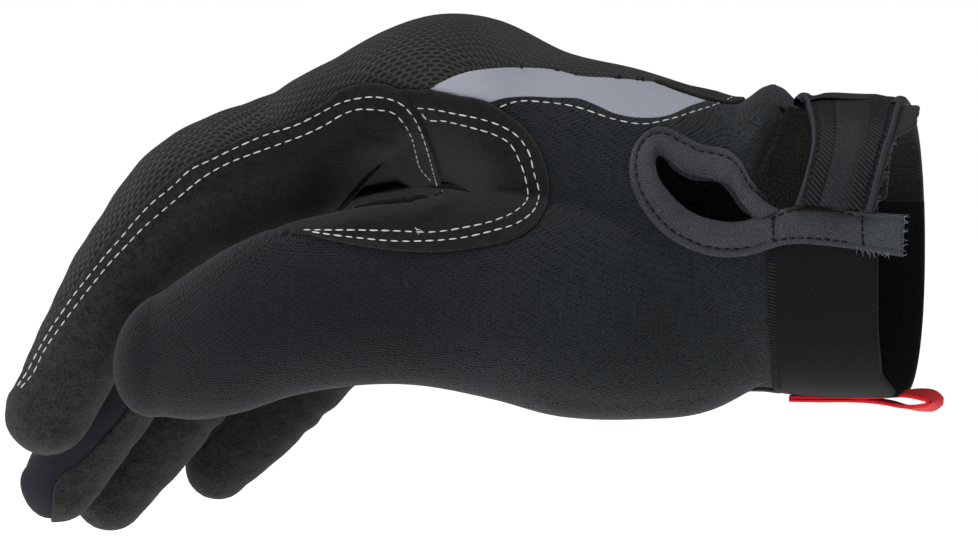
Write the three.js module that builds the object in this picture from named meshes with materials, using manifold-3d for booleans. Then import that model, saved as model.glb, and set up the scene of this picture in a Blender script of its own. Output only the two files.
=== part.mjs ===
// Work glove for the right hand, held as it is worn: fingers curled down, thumb toward the viewer
// The origin is the middle of the cuff's mouth. +X points out of the mouth, toward the arm
// +Y points away from the thumb side and +Z up, through the back of the hand

import * as THREE from 'three';
import Module from 'manifold-3d';
import { mergeVertices } from 'three/addons/utils/BufferGeometryUtils.js';

// Hand sizes, in millimetres
const palmLength = 139;
const palmBreadth = 88;
const palmHeight = 64;
const thumbLength = 142;
const thumbBreadth = 40;
const thumbDepth = 30;
const indexLength = 123;
const middleLength = 126;
const ringLength = 118;
const littleLength = 95;
const indexBreadth = 22.4;
const middleBreadth = 21;
const ringBreadth = 20.4;
const littleBreadth = 18.4;

// Fabric and trim sizes
const wall = 1.8;
const seamGap = 0.3;
const patchRise = 0.7;
const mouthTrim = 1.4;
const cuffBandWidth = 24;
const slitRise = 4;
const notchHem = 1.2;
const loopPatchThickness = 1.2;
const loopPatchInset = 1.5;
const loopPatchWidth = 25;
const strapThickness = 2;
const strapWidth = 25;
const strapWaist = 17.2;
const strapOverhang = 1.2;
const strapFarEnd = 6;
const bindingThickness = 1.6;
const tailOverhang = 5.5;
const tailWidth = 9.2;
const pullLoopWidth = 8;
const pullLoopReach = 10;
const pullLoopHeight = 4.2;
const pullLoopTail = 25;
const webbingThickness = 1;

// Facets round a section, how square it is (1 is an oval), and how far the cutting shapes reach past the glove
const palmFacets = 26;
const thumbFacets = 18;
const fingerFacets = 12;
const palmFullness = 0.9;
const digitFullness = 0.95;
const reach = 90;

// Colours
const meshBlack = 0x2b2b2b;
const suedeBlack = 0x211f1d;
const knitBlue = 0x22272c;
const navy = 0x22222c;
const grey = 0x8f939e;
const bindingGrey = 0x454c50;
const elasticBlack = 0x201f22;
const rubberBlack = 0x262629;
const loopBlack = 0x1d1b19;
const red = 0xc8101c;

// Sections of the hand from the cuff's mouth to the finger roots
// along is a share of palmLength, across, breadth of palmBreadth, up, height of palmHeight. roll is in degrees
const palmSections = [
  { along: 0, across: 0, up: -0.02, breadth: 0.66, height: 0.98, roll: 0 },
  { along: 0.1, across: 0, up: -0.018, breadth: 0.67, height: 0.99, roll: 0 },
  { along: 0.172, across: 0, up: -0.006, breadth: 0.68, height: 1, roll: 0 },
  { along: 0.208, across: 0, up: 0.033, breadth: 0.7, height: 1.06, roll: 0 },
  { along: 0.252, across: 0, up: 0.01, breadth: 0.74, height: 1.01, roll: 1 },
  { along: 0.32, across: 0, up: 0.04, breadth: 0.8, height: 1.01, roll: 2 },
  { along: 0.43, across: 0, up: 0.125, breadth: 0.9, height: 0.98, roll: 6 },
  { along: 0.54, across: 0, up: 0.25, breadth: 0.96, height: 0.83, roll: 9 },
  { along: 0.645, across: 0, up: 0.435, breadth: 1, height: 0.65, roll: 12 },
  { along: 0.72, across: 0, up: 0.475, breadth: 1, height: 0.58, roll: 13 },
  { along: 0.805, across: -0.01, up: 0.435, breadth: 0.97, height: 0.53, roll: 14 },
  { along: 0.878, across: -0.09, up: 0.385, breadth: 0.8, height: 0.44, roll: 16 },
  { along: 0.94, across: -0.17, up: 0.335, breadth: 0.64, height: 0.4, roll: 19 },
  { along: 1, across: -0.23, up: 0.27, breadth: 0.48, height: 0.35, roll: 22 },
];

// Sections of the thumb from inside the wrist to its tip
// along is a share of thumbLength from the thumb's start, across of palmBreadth, up of palmHeight,
// breadth of thumbBreadth, depth of thumbDepth
const thumbStart = 0.18;
const thumbSections = [
  { along: 0, across: -0.1, up: -0.2, breadth: 0.7, depth: 0.8 },
  { along: 0.11, across: -0.2, up: -0.22, breadth: 1.08, depth: 1.15 },
  { along: 0.21, across: -0.3, up: -0.21, breadth: 1.18, depth: 1.3 },
  { along: 0.32, across: -0.4, up: -0.19, breadth: 1.19, depth: 1.24 },
  { along: 0.41, across: -0.46, up: -0.16, breadth: 1.1, depth: 1.12 },
  { along: 0.53, across: -0.53, up: -0.14, breadth: 1.0, depth: 0.96 },
  { along: 0.65, across: -0.56, up: -0.17, breadth: 0.95, depth: 0.9 },
  { along: 0.72, across: -0.57, up: -0.205, breadth: 0.94, depth: 0.88 },
  { along: 0.79, across: -0.57, up: -0.26, breadth: 0.93, depth: 0.86 },
  { along: 0.865, across: -0.55, up: -0.32, breadth: 0.83, depth: 0.8 },
  { along: 0.925, across: -0.53, up: -0.36, breadth: 0.68, depth: 0.72 },
];

// Each finger: root as shares of palmLength, palmBreadth and palmHeight, phalanges as shares of its length
// bends are the three phalanges' angles below level, and leaves is where it parts from the hand
const fingerTable = [
  {
    name: 'index', length: indexLength, breadth: indexBreadth, along: 0.705, across: -0.352, up: 0.6,
    first: 0.517, second: 0.185, third: 0.298, bend1: 24, bend2: 52, bend3: 60.6, leaves: 0.375,
  },
  {
    name: 'middle', length: middleLength, breadth: middleBreadth, along: 0.77, across: -0.102, up: 0.55,
    first: 0.47, second: 0.247, third: 0.283, bend1: 36.7, bend2: 54, bend3: 55.4, leaves: 0.3,
  },
  {
    name: 'ring', length: ringLength, breadth: ringBreadth, along: 0.79, across: 0.136, up: 0.47,
    first: 0.49, second: 0.256, third: 0.254, bend1: 45.7, bend2: 53, bend3: 50.4, leaves: 0.26,
  },
  {
    name: 'little', length: littleLength, breadth: littleBreadth, along: 0.785, across: 0.364, up: 0.33,
    first: 0.546, second: 0.205, third: 0.249, bend1: 57.9, bend2: 47, bend3: 43.3, leaves: 0.24,
  },
];

// Where along a finger's own length its sections lie, and how full they are
const fingerSections = [
  { share: 0, full: 1 },
  { share: 0.3, full: 1 },
  { share: 0.46, full: 1.01 },
  { share: 0.56, full: 0.99 },
  { share: 0.68, full: 0.96 },
  { share: 0.84, full: 0.91 },
  { share: 1, full: 0.82 },
];

// The rounded end of a finger or thumb, as angles from its last section to its pole
// leastStep is the least share of a finger's length between two sections
const tipAngles = [26, 56];
const thumbTipDroop = 0.25;
const leastStep = 0.02;

// Seams on the thumb side. along is a share of palmLength and up of palmHeight
const patchOutline = [
  { along: 0.76, up: 0.56 },
  { along: 0.705, up: 0.55 },
  { along: 0.61, up: 0.5 },
  { along: 0.555, up: 0.41 },
  { along: 0.515, up: 0.25 },
  { along: 0.53, up: 0.1 },
  { along: 0.6, up: 0.02 },
  { along: 0.7, up: 0 },
  { along: 0.81, up: 0.03 },
  { along: 0.915, up: 0.065 },
];
const patchInside = [
  { along: 0.93, up: 0.16 },
  { along: 0.72, up: 0.2 },
  { along: 0.69, up: 0.2 },
  { along: 0.7, up: 0.34 },
  { along: 0.725, up: 0.46 },
];
const stripTop = [
  { along: 0.735, up: 0.535 },
  { along: 0.69, up: 0.58 },
  { along: 0.62, up: 0.62 },
  { along: 0.52, up: 0.61 },
  { along: 0.4, up: 0.6 },
  { along: 0.26, up: 0.62 },
];
const stripBottom = [
  { along: 0.63, up: 0.5 },
  { along: 0.565, up: 0.515 },
  { along: 0.475, up: 0.515 },
  { along: 0.38, up: 0.455 },
  { along: 0.31, up: 0.49 },
  { along: 0.26, up: 0.55 },
];
const notchOutline = [
  { along: 0.36, up: 0.28 },
  { along: 0.3525, up: 0.345 },
  { along: 0.331, up: 0.289 },
  { along: 0.302, up: 0.25 },
  { along: 0.259, up: 0.235 },
  { along: 0.223, up: 0.14 },
  { along: 0.2, up: 0.106 },
  { along: 0.237, up: 0.088 },
  { along: 0.288, up: 0.11 },
  { along: 0.331, up: 0.172 },
];

// The binding's outer edge, from the tail's lower side round the notch to its upper side
const bindingEdge = [
  { along: 0.137, up: 0.02 },
  { along: 0.2, up: 0 },
  { along: 0.266, up: -0.018 },
  { along: 0.324, up: 0.012 },
  { along: 0.366, up: 0.09 },
  { along: 0.394, up: 0.25 },
  { along: 0.38, up: 0.385 },
  { along: 0.349, up: 0.42 },
  { along: 0.29, up: 0.352 },
  { along: 0.245, up: 0.336 },
  { along: 0.216, up: 0.266 },
  { along: 0.194, up: 0.188 },
  { along: 0.151, up: 0.156 },
];

// The strap's edges. set is how far its arm edge is set back, a share of strapWidth
// spread is how far it has widened from its waist to its full width
const strapSections = [
  { up: 0.1, set: 0.07, spread: 0.1 },
  { up: 0.28, set: 0.03, spread: 0 },
  { up: 0.41, set: 0, spread: 0.35 },
  { up: 0.52, set: 0, spread: 1 },
  { up: 0.8, set: 0, spread: 1 },
];

// How deep the thumb panel's seam with the palm side lies, from cuff to thumb tip
const thumbSeam = [
  { along: 0, across: -0.08 },
  { along: 0.28, across: -0.12 },
  { along: 0.4, across: -0.22 },
  { along: 0.5, across: -0.33 },
  { along: 0.6, across: -0.4 },
  { along: 0.72, across: -0.47 },
  { along: 0.9, across: -0.5 },
  { along: 1.3, across: -0.5 },
];

// The seam between back and palm on the far side
const farSeam = [
  { along: 0.17, up: 0.16 },
  { along: 0.3, up: 0.03 },
  { along: 0.45, up: 0.08 },
  { along: 0.58, up: 0.2 },
  { along: 0.7, up: 0.3 },
  { along: 0.8, up: 0.26 },
  { along: 0.9, up: 0.2 },
  { along: 1.1, up: 0.1 },
];

// The seam between back and palm on the near side of the index finger's root
const nearSeam = [
  { along: 1.15, up: 0.3 },
  { along: 1.02, up: 0.36 },
  { along: 0.92, up: 0.43 },
  { along: 0.85, up: 0.5 },
  { along: 0.76, up: 0.56 },
];

// Finger seams as shares of half the finger's height: back above backSeam, front below frontSeam
const backSeam = 0.46;
const frontSeam = -0.38;

// Where panels end under other pieces: along of palmLength, across of palmBreadth, up of palmHeight
const cuffTopAlong = 0.25;
const webStartAlong = 0.44;
const webOverlap = 0.02;
const webAcross = -0.28;
const stripUp = 0.49;
const wristSideUp = -0.1;
const thumbSideUp = 0.1;
const thumbFrontAlong = 0.68;
const thumbFrontAcross = -0.25;
const thumbFrontUp = 0.12;
const backInsideAlong = 0.7;
const backInsideUp = 0.45;
const pastTipAlong = 1.3;
const underPatch = [
  { along: 0.66, up: -0.1 },
  { along: 0.62, up: 0.1 },
  { along: 0.58, up: 0.3 },
  { along: 0.66, up: 0.49 },
];

// The loop patch's thumb-side edge. across is a share of loopPatchWidth, up of palmHeight
const loopPatchShoulder = { across: 0.8, up: 0.46 };
const loopPatchPoint = { across: 1, up: 0.24 };
const loopPatchFoot = 0.75;

// The pull loop's open end. along is a share of pullLoopReach past the mouth, down of pullLoopHeight
// Its two layers part at pullLoopNeck, a share of pullLoopReach before the mouth
const pullLoopCurve = [
  { along: -0.3, down: 0 },
  { along: 0.3, down: -0.25 },
  { along: 1, down: -0.35 },
  { along: 1, down: 0.2 },
  { along: 1, down: 1 },
  { along: 0.2, down: 0.9 },
];
const pullLoopNeck = 0.6;
const eyeCentre = { along: 0.45, down: 0.26 };
const eyeEndWall = 1.3;

const wasm = await Module();
wasm.setup();

function solid(geometry) {
  const bare = geometry.clone();
  bare.deleteAttribute('normal');
  bare.deleteAttribute('uv');
  const merged = mergeVertices(bare, 1e-4);
  return new wasm.Manifold(new wasm.Mesh({
    numProp: 3,
    vertProperties: new Float32Array(merged.attributes.position.array),
    triVerts: new Uint32Array(merged.index.array),
  }));
}

// A closed skin through a row of rings that have the same number of points
function loft(rings) {
  const count = rings[0].length;
  const points = rings.flat();
  const first = new THREE.Vector3();
  const last = new THREE.Vector3();
  rings[0].forEach((point) => first.addScaledVector(point, 1 / count));
  rings[rings.length - 1].forEach((point) => last.addScaledVector(point, 1 / count));
  points.push(first, last);
  const index = [];
  for (let row = 0; row < rings.length - 1; row += 1) {
    for (let i = 0; i < count; i += 1) {
      const a = row * count + i;
      const b = row * count + ((i + 1) % count);
      index.push(a, b, a + count, b, b + count, a + count);
    }
  }
  const end = (rings.length - 1) * count;
  for (let i = 0; i < count; i += 1) {
    index.push(points.length - 2, (i + 1) % count, i);
    index.push(points.length - 1, end + i, end + ((i + 1) % count));
  }
  // The faces point out when the rings turn clockwise about the way that they advance
  const turn = new THREE.Vector3();
  rings[0].forEach((point, i) => {
    const next = rings[0][(i + 1) % count];
    turn.add(point.clone().sub(first).cross(next.clone().sub(first)));
  });
  if (turn.dot(last.clone().sub(first)) < 0) {
    index.reverse();
  }
  const geometry = new THREE.BufferGeometry().setFromPoints(points);
  geometry.setIndex(index);
  return geometry;
}

// A rounded section: half sizes along two axes about a centre. fullness below 1 squares its corners
function ring(centre, side, up, halfSide, halfUp, facets, fullness) {
  const points = [];
  for (let i = 0; i < facets; i += 1) {
    const angle = (2 * Math.PI * (i + 0.5)) / facets;
    const c = Math.cos(angle);
    const s = Math.sin(angle);
    points.push(centre.clone()
      .addScaledVector(side, halfSide * Math.sign(c) * Math.abs(c) ** fullness)
      .addScaledVector(up, halfUp * Math.sign(s) * Math.abs(s) ** fullness));
  }
  return points;
}

const palmX = (along) => mouthTrim - along * palmLength;
const palmY = (across) => across * palmBreadth;
const palmZ = (up) => up * palmHeight;

// The hand without its digits, its surface moved out by offset. The mouth is drawn out by past
function palmHull(offset, past) {
  const rings = palmSections.map((row) => {
    const roll = THREE.MathUtils.degToRad(row.roll);
    const side = new THREE.Vector3(0, Math.cos(roll), -Math.sin(roll));
    const up = new THREE.Vector3(0, Math.sin(roll), Math.cos(roll));
    const centre = new THREE.Vector3(palmX(row.along), palmY(row.across), palmZ(row.up));
    const end = row.along === 1 ? -offset : 0;
    centre.x += end;
    const halfSide = (row.breadth * palmBreadth) / 2 + offset;
    const halfUp = (row.height * palmHeight) / 2 + offset;
    return ring(centre, side, up, halfSide, halfUp, palmFacets, palmFullness);
  });
  rings[0].forEach((point) => point.setX(past));
  return solid(loft(rings));
}

function thumbHull(offset) {
  const rings = [];
  const centres = thumbSections.map((row) => new THREE.Vector3(
    palmX(thumbStart) - row.along * thumbLength,
    palmY(row.across),
    palmZ(row.up),
  ));
  const side = new THREE.Vector3(0, 1, 0);
  const up = new THREE.Vector3(0, 0, 1);
  thumbSections.forEach((row, i) => {
    const halfSide = (row.depth * thumbDepth) / 2 + offset;
    const halfUp = (row.breadth * thumbBreadth) / 2 + offset;
    rings.push(ring(centres[i], side, up, halfSide, halfUp, thumbFacets, digitFullness));
  });
  const tip = thumbSections[thumbSections.length - 1];
  const centre = centres[centres.length - 1];
  const halfSide = (tip.depth * thumbDepth) / 2 + offset;
  const halfUp = (tip.breadth * thumbBreadth) / 2 + offset;
  const length = halfSide;
  tipAngles.forEach((angle) => {
    const turn = THREE.MathUtils.degToRad(angle);
    const moved = centre.clone();
    moved.x -= length * Math.sin(turn);
    moved.z -= thumbTipDroop * length * Math.sin(turn);
    rings.push(ring(moved, side, up, halfSide * Math.cos(turn), halfUp * Math.cos(turn), thumbFacets, digitFullness));
  });
  return solid(loft(rings));
}

// A finger's centre line, with its direction and the direction of its back at any share of its length
function fingerLine(finger) {
  const joints = [new THREE.Vector3(palmX(finger.along), palmY(finger.across), palmZ(finger.up))];
  const parts = [
    { share: finger.first, bend: finger.bend1 },
    { share: finger.second, bend: finger.bend2 },
    { share: finger.third, bend: finger.bend3 },
  ];
  parts.forEach((part) => {
    const bend = THREE.MathUtils.degToRad(part.bend);
    const step = new THREE.Vector3(-Math.cos(bend), 0, -Math.sin(bend));
    const last = joints[joints.length - 1];
    joints.push(last.clone().addScaledVector(step, part.share * finger.length));
  });
  const mid = joints[0].clone().lerp(joints[1], 0.5);
  return new THREE.CatmullRomCurve3([joints[0], mid, joints[1], joints[2], joints[3]], false, 'centripetal');
}

const across = new THREE.Vector3(0, 1, 0);

function fingerFrame(line, share) {
  const centre = line.getPointAt(share);
  const forward = line.getTangentAt(share);
  const back = new THREE.Vector3().crossVectors(across, forward).normalize();
  return { centre, forward, back };
}

// The finger's skin moved out by offset, from a share of its length to its rounded tip
function fingerHull(finger, offset, from) {
  const line = fingerLine(finger);
  const rows = [{ share: from, full: 1 }].concat(fingerSections.filter((row) => row.share > from + leastStep));
  const rings = rows.map((row) => {
    const { centre, back } = fingerFrame(line, row.share);
    const half = (row.full * finger.breadth) / 2 + offset;
    return ring(centre, across, back, half, half, fingerFacets, digitFullness);
  });
  const { centre, forward, back } = fingerFrame(line, 1);
  const half = (fingerSections[fingerSections.length - 1].full * finger.breadth) / 2 + offset;
  tipAngles.forEach((angle) => {
    const turn = THREE.MathUtils.degToRad(angle);
    const moved = centre.clone().addScaledVector(forward, half * Math.sin(turn));
    const size = half * Math.cos(turn);
    rings.push(ring(moved, across, back, size, size, fingerFacets, digitFullness));
  });
  return solid(loft(rings));
}

// A four-cornered bar that follows a finger, between two sides and two heights as shares of half its breadth
function fingerBar(finger, from, to, left, right, low, high) {
  const line = fingerLine(finger);
  const half = finger.breadth / 2;
  const stops = fingerSections.map((row) => row.share)
    .filter((share) => share > from + leastStep && share < to - leastStep);
  const rings = [from, ...stops, to].map((share) => {
    const { centre, back } = fingerFrame(line, share);
    const corner = (s, u) => centre.clone()
      .addScaledVector(across, s * half)
      .addScaledVector(back, u * half);
    return [corner(left, low), corner(right, low), corner(right, high), corner(left, high)];
  });
  return solid(loft(rings));
}

// A flat outline drawn out across the hand, from one depth to another
function slabAcross(points, near, far) {
  const shape = new THREE.Shape(points.map((p) => new THREE.Vector2(p.x, p.y)));
  const geometry = new THREE.ExtrudeGeometry(shape, { depth: far - near, bevelEnabled: false });
  geometry.rotateX(Math.PI / 2);
  geometry.translate(0, far, 0);
  return solid(geometry);
}

// A plan outline drawn out from one height to another
function slabUp(points, low, high) {
  const shape = new THREE.Shape(points.map((p) => new THREE.Vector2(p.x, p.y)));
  const geometry = new THREE.ExtrudeGeometry(shape, { depth: high - low, bevelEnabled: false });
  geometry.translate(0, 0, low);
  return solid(geometry);
}

const sidePoint = (row) => new THREE.Vector2(palmX(row.along), palmZ(row.up));
const planPoint = (row) => new THREE.Vector2(palmX(row.along), palmY(row.across));

function smooth(points, steps) {
  return new THREE.SplineCurve(points).getPoints(steps);
}

function smoothClosed(points, steps) {
  const line = new THREE.CatmullRomCurve3(points.map((p) => new THREE.Vector3(p.x, p.y, 0)), true);
  return line.getPoints(steps).slice(0, steps).map((p) => new THREE.Vector2(p.x, p.y));
}

// The outline moved outward by a distance
function grown(points, by) {
  const turn = THREE.ShapeUtils.area(points) > 0 ? 1 : -1;
  return points.map((point, i) => {
    const before = points[(i + points.length - 1) % points.length];
    const after = points[(i + 1) % points.length];
    const inward = point.clone().sub(before).normalize();
    const outward = after.clone().sub(point).normalize();
    const normal = new THREE.Vector2(inward.y + outward.y, -(inward.x + outward.x));
    const size = normal.length() / 2;
    normal.normalize().multiplyScalar((turn * by) / Math.max(size, 0.5));
    return point.clone().add(normal);
  });
}

// The largest piece of a cut solid
function largest(body) {
  const parts = body.decompose();
  return parts.reduce((best, part) => (part.volume() > best.volume() ? part : best), parts[0]);
}

const group = new THREE.Group();

function add(name, body, color, roughness) {
  const mesh = largest(body).getMesh();
  const geometry = new THREE.BufferGeometry();
  geometry.setAttribute('position', new THREE.BufferAttribute(new Float32Array(mesh.vertProperties), 3));
  geometry.setIndex(new THREE.BufferAttribute(new Uint32Array(mesh.triVerts), 1));
  geometry.computeVertexNormals();
  const piece = new THREE.Mesh(geometry, new THREE.MeshStandardMaterial({ color, roughness, metalness: 0 }));
  piece.name = name;
  group.add(piece);
}

// The glove's whole skin, open at the cuff
let outer = palmHull(0, 0).add(thumbHull(0));
let inner = palmHull(-wall, reach / 3).add(thumbHull(-wall));
fingerTable.forEach((finger) => {
  outer = outer.add(fingerHull(finger, 0, 0));
  inner = inner.add(fingerHull(finger, -wall, 0));
});
let hand = outer.subtract(inner);

// Fingers: each is a tube of its own past the place where it leaves the hand
const far = 3;
fingerTable.forEach((finger, order) => {
  const start = finger.leaves;
  const tube = fingerHull(finger, 0, 0).subtract(fingerHull(finger, -wall, 0));
  const step = seamGap / finger.breadth;
  const pastStep = seamGap / finger.length;
  const bar = (left, right, low, high) => tube.intersect(
    fingerBar(finger, start + pastStep, 1 - pastStep, left, right, low, high),
  );
  const whole = tube.intersect(fingerHull(finger, wall, start + pastStep));
  const hasNear = order > 0;
  const hasFar = order < fingerTable.length - 1;
  const back = bar(-far, far, backSeam + step, far);
  add(`${finger.name}_back`, back, meshBlack, 0.9);
  let taken = fingerBar(finger, start, 1, -far, far, backSeam - step, far);
  if (hasNear) {
    add(`${finger.name}_fourchette_near`, bar(-far, 0, frontSeam + step, backSeam - step), navy, 0.85);
    taken = taken.add(fingerBar(finger, start, 1, -far, step, frontSeam - step, backSeam));
  }
  if (hasFar) {
    add(`${finger.name}_fourchette_far`, bar(0, far, frontSeam + step, backSeam - step), navy, 0.85);
    taken = taken.add(fingerBar(finger, start, 1, -step, far, frontSeam - step, backSeam));
  }
  add(`${finger.name}_front`, whole.subtract(taken), suedeBlack, 0.95);
  hand = hand.subtract(fingerHull(finger, seamGap, start));
});

// Cutting shapes for the panels of the hand. grow widens one by a distance, to leave the seam's gap
const near = -reach;
const top = palmHeight;
const half = seamGap / 2;
const webDepth = palmY(webAcross);

const patchShape = smooth(patchOutline.map(sidePoint), 22).concat(patchInside.map(sidePoint));
const patchCut = (grow) => slabAcross(grown(patchShape, grow), near, webDepth + grow);

const stripShape = smooth(stripTop.map(sidePoint), 10)
  .concat(smooth(stripBottom.map(sidePoint), 12).reverse());
const stripCut = (grow) => slabAcross(grown(stripShape, grow), near, 0);

const notchLine = smoothClosed(notchOutline.map(sidePoint), 24);
const notchCut = (grow) => slabAcross(grown(notchLine, grow), near, 0);

// The elastic band goes round the wrist below the slit on the near side and the back's seam on the far side
const farEdge = palmZ(farSeam[0].up);
function cuffCut(grow) {
  const x = -cuffBandWidth - grow;
  const nearPart = slabAcross([
    new THREE.Vector2(x, -reach),
    new THREE.Vector2(reach, -reach),
    new THREE.Vector2(reach, slitRise + grow),
    new THREE.Vector2(x, slitRise + grow),
  ], near, 0);
  const farPart = slabAcross([
    new THREE.Vector2(x, -reach),
    new THREE.Vector2(reach, -reach),
    new THREE.Vector2(reach, farEdge + grow),
    new THREE.Vector2(x, farEdge + grow),
  ], -half, reach);
  return nearPart.add(farPart);
}

// The thumb panel: below the strip, over the wrist's top, and down to the thumb's lower seam
function thumbPanelCut(grow) {
  const cuffTop = palmX(cuffTopAlong) - grow;
  const upper = slabAcross([
    new THREE.Vector2(palmX(webStartAlong), palmZ(wristSideUp)),
    new THREE.Vector2(palmX(webStartAlong), palmZ(stripUp)),
    new THREE.Vector2(cuffTop, palmZ(stripUp)),
    new THREE.Vector2(cuffTop, top),
    new THREE.Vector2(reach, top),
    new THREE.Vector2(reach, palmZ(wristSideUp)),
  ], near, half);
  const web = slabAcross([
    ...underPatch.map(sidePoint),
    new THREE.Vector2(palmX(webStartAlong - webOverlap), palmZ(stripUp)),
    new THREE.Vector2(palmX(webStartAlong - webOverlap), palmZ(wristSideUp)),
  ], near, webDepth + grow);
  const overTop = slabAcross([
    new THREE.Vector2(cuffTop, farEdge - grow),
    new THREE.Vector2(cuffTop, top),
    new THREE.Vector2(reach, top),
    new THREE.Vector2(reach, farEdge - grow),
  ], -half, reach);
  const plan = smooth(thumbSeam.map(planPoint), 14).map((point) => point.setY(point.y + grow));
  const lower = slabUp([
    new THREE.Vector2(reach, near),
    new THREE.Vector2(reach, plan[0].y),
    ...plan,
    new THREE.Vector2(plan[plan.length - 1].x, near),
  ], -top, palmZ(thumbSideUp));
  return upper.add(web).add(overTop).add(lower);
}

// The back: above its near and far seams
function backCut(grow) {
  const nearLine = smooth(nearSeam.map(sidePoint), 8);
  const nearPart = slabAcross([
    ...nearLine.map((point) => point.setY(point.y - grow)),
    new THREE.Vector2(palmX(backInsideAlong), palmZ(backInsideUp)),
    new THREE.Vector2(palmX(cuffTopAlong), palmZ(backInsideUp)),
    new THREE.Vector2(palmX(cuffTopAlong), 2 * top),
    new THREE.Vector2(nearLine[0].x, 2 * top),
  ], near, half);
  const farLine = smooth(farSeam.map(sidePoint), 10).map((point) => point.setY(point.y - grow));
  const farPart = slabAcross([
    ...farLine,
    new THREE.Vector2(farLine[farLine.length - 1].x, 2 * top),
    new THREE.Vector2(farLine[0].x, 2 * top),
  ], -half, reach);
  return nearPart.add(farPart);
}

// The palm side of the thumb, beyond the web
const thumbFrontStart = palmX(thumbFrontAlong);
const thumbFrontDepth = palmY(thumbFrontAcross);
function thumbFrontCut(grow) {
  const plan = smooth(thumbSeam.map(planPoint), 14)
    .filter((point) => point.x < thumbFrontStart - wall)
    .map((point) => point.setY(point.y - grow));
  return slabUp([
    new THREE.Vector2(thumbFrontStart + grow, plan[0].y),
    ...plan,
    new THREE.Vector2(plan[plan.length - 1].x, thumbFrontDepth + grow),
    new THREE.Vector2(thumbFrontStart + grow, thumbFrontDepth + grow),
  ], -top, palmZ(thumbFrontUp) + grow);
}

const patchSkin = palmHull(patchRise, 0).add(thumbHull(patchRise)).subtract(inner);
const notchHole = notchCut(notchHem);

const cuffBand = hand.intersect(cuffCut(0));
const strip = hand.intersect(stripCut(0)).subtract(patchCut(seamGap));
const patch = patchSkin.intersect(patchCut(0)).subtract(fingerHull(fingerTable[0], seamGap + wall, 0));
let rest = hand.subtract(cuffCut(seamGap)).subtract(patchCut(seamGap));
const thumbPanel = rest.subtract(stripCut(seamGap)).intersect(thumbPanelCut(0)).subtract(notchHole);
rest = rest.subtract(stripCut(seamGap)).subtract(thumbPanelCut(seamGap)).subtract(notchHole);
const back = rest.intersect(backCut(0));
rest = rest.subtract(backCut(seamGap));
const thumbFront = rest.intersect(thumbFrontCut(0));
const palm = rest.subtract(thumbFrontCut(seamGap));

// A skin over the cuff and thumb root, between two heights above the fabric
function coverSkin(low, high) {
  const upper = palmHull(high, reach / 3).add(thumbHull(high));
  return upper.subtract(palmHull(low, reach / 2).add(thumbHull(low)));
}

// The notch's binding, with the tail that runs on over the slit past the cuff's mouth
const tailLow = palmZ(bindingEdge[0].up);
const tailTop = tailLow + tailWidth;
const bindingShape = [
  new THREE.Vector2(tailOverhang, tailLow),
  ...smooth(bindingEdge.map(sidePoint), 28),
  new THREE.Vector2(palmX(bindingEdge[bindingEdge.length - 1].along / 2), tailTop),
  new THREE.Vector2(tailOverhang, tailTop),
];
const binding = coverSkin(seamGap, seamGap + bindingThickness)
  .intersect(slabAcross(bindingShape, near, 0))
  .subtract(notchCut(0));

// The loop patch lies round the wrist's top above the binding, and the strap over it
const coverLow = tailTop + seamGap;
const patchLow = seamGap;
const patchHigh = patchLow + loopPatchThickness;
const loopPatchArm = -loopPatchInset;
const loopPatchShoulderX = loopPatchArm - loopPatchShoulder.across * loopPatchWidth;
const loopPatch = coverSkin(patchLow, patchHigh).intersect(slabAcross([
  new THREE.Vector2(loopPatchArm, coverLow),
  new THREE.Vector2(loopPatchArm, 2 * top),
  new THREE.Vector2(loopPatchShoulderX, 2 * top),
  new THREE.Vector2(loopPatchShoulderX, palmZ(loopPatchShoulder.up)),
  new THREE.Vector2(loopPatchArm - loopPatchPoint.across * loopPatchWidth, palmZ(loopPatchPoint.up)),
  new THREE.Vector2(loopPatchArm - loopPatchFoot * loopPatchWidth, coverLow),
], near, half).add(slabAcross([
  new THREE.Vector2(loopPatchArm, farEdge),
  new THREE.Vector2(loopPatchArm, 2 * top),
  new THREE.Vector2(loopPatchShoulderX, 2 * top),
  new THREE.Vector2(loopPatchShoulderX, farEdge),
], 0, reach))).subtract(slabAcross(grown(bindingShape, seamGap), near, half));

const strapRight = strapSections.map((row) => (
  new THREE.Vector2(strapOverhang - row.set * strapWidth, Math.max(palmZ(row.up), coverLow))
));
const strapLeft = strapSections.map((row, i) => {
  const width = strapWaist + row.spread * (strapWidth - strapWaist);
  return new THREE.Vector2(strapRight[i].x - width, strapRight[i].y);
});
const strapNear = smooth(strapRight, 8).concat(smooth(strapLeft, 8).reverse());
const strapLow = patchHigh + seamGap;
const strap = coverSkin(strapLow, strapLow + strapThickness).intersect(
  slabAcross(strapNear, near, half).add(slabAcross([
    new THREE.Vector2(strapOverhang, strapFarEnd),
    new THREE.Vector2(strapOverhang, strapRight[strapRight.length - 1].y),
    new THREE.Vector2(strapOverhang - strapWidth, strapRight[strapRight.length - 1].y),
    new THREE.Vector2(strapOverhang - strapWidth, strapFarEnd),
  ], 0, reach)),
);

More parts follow.
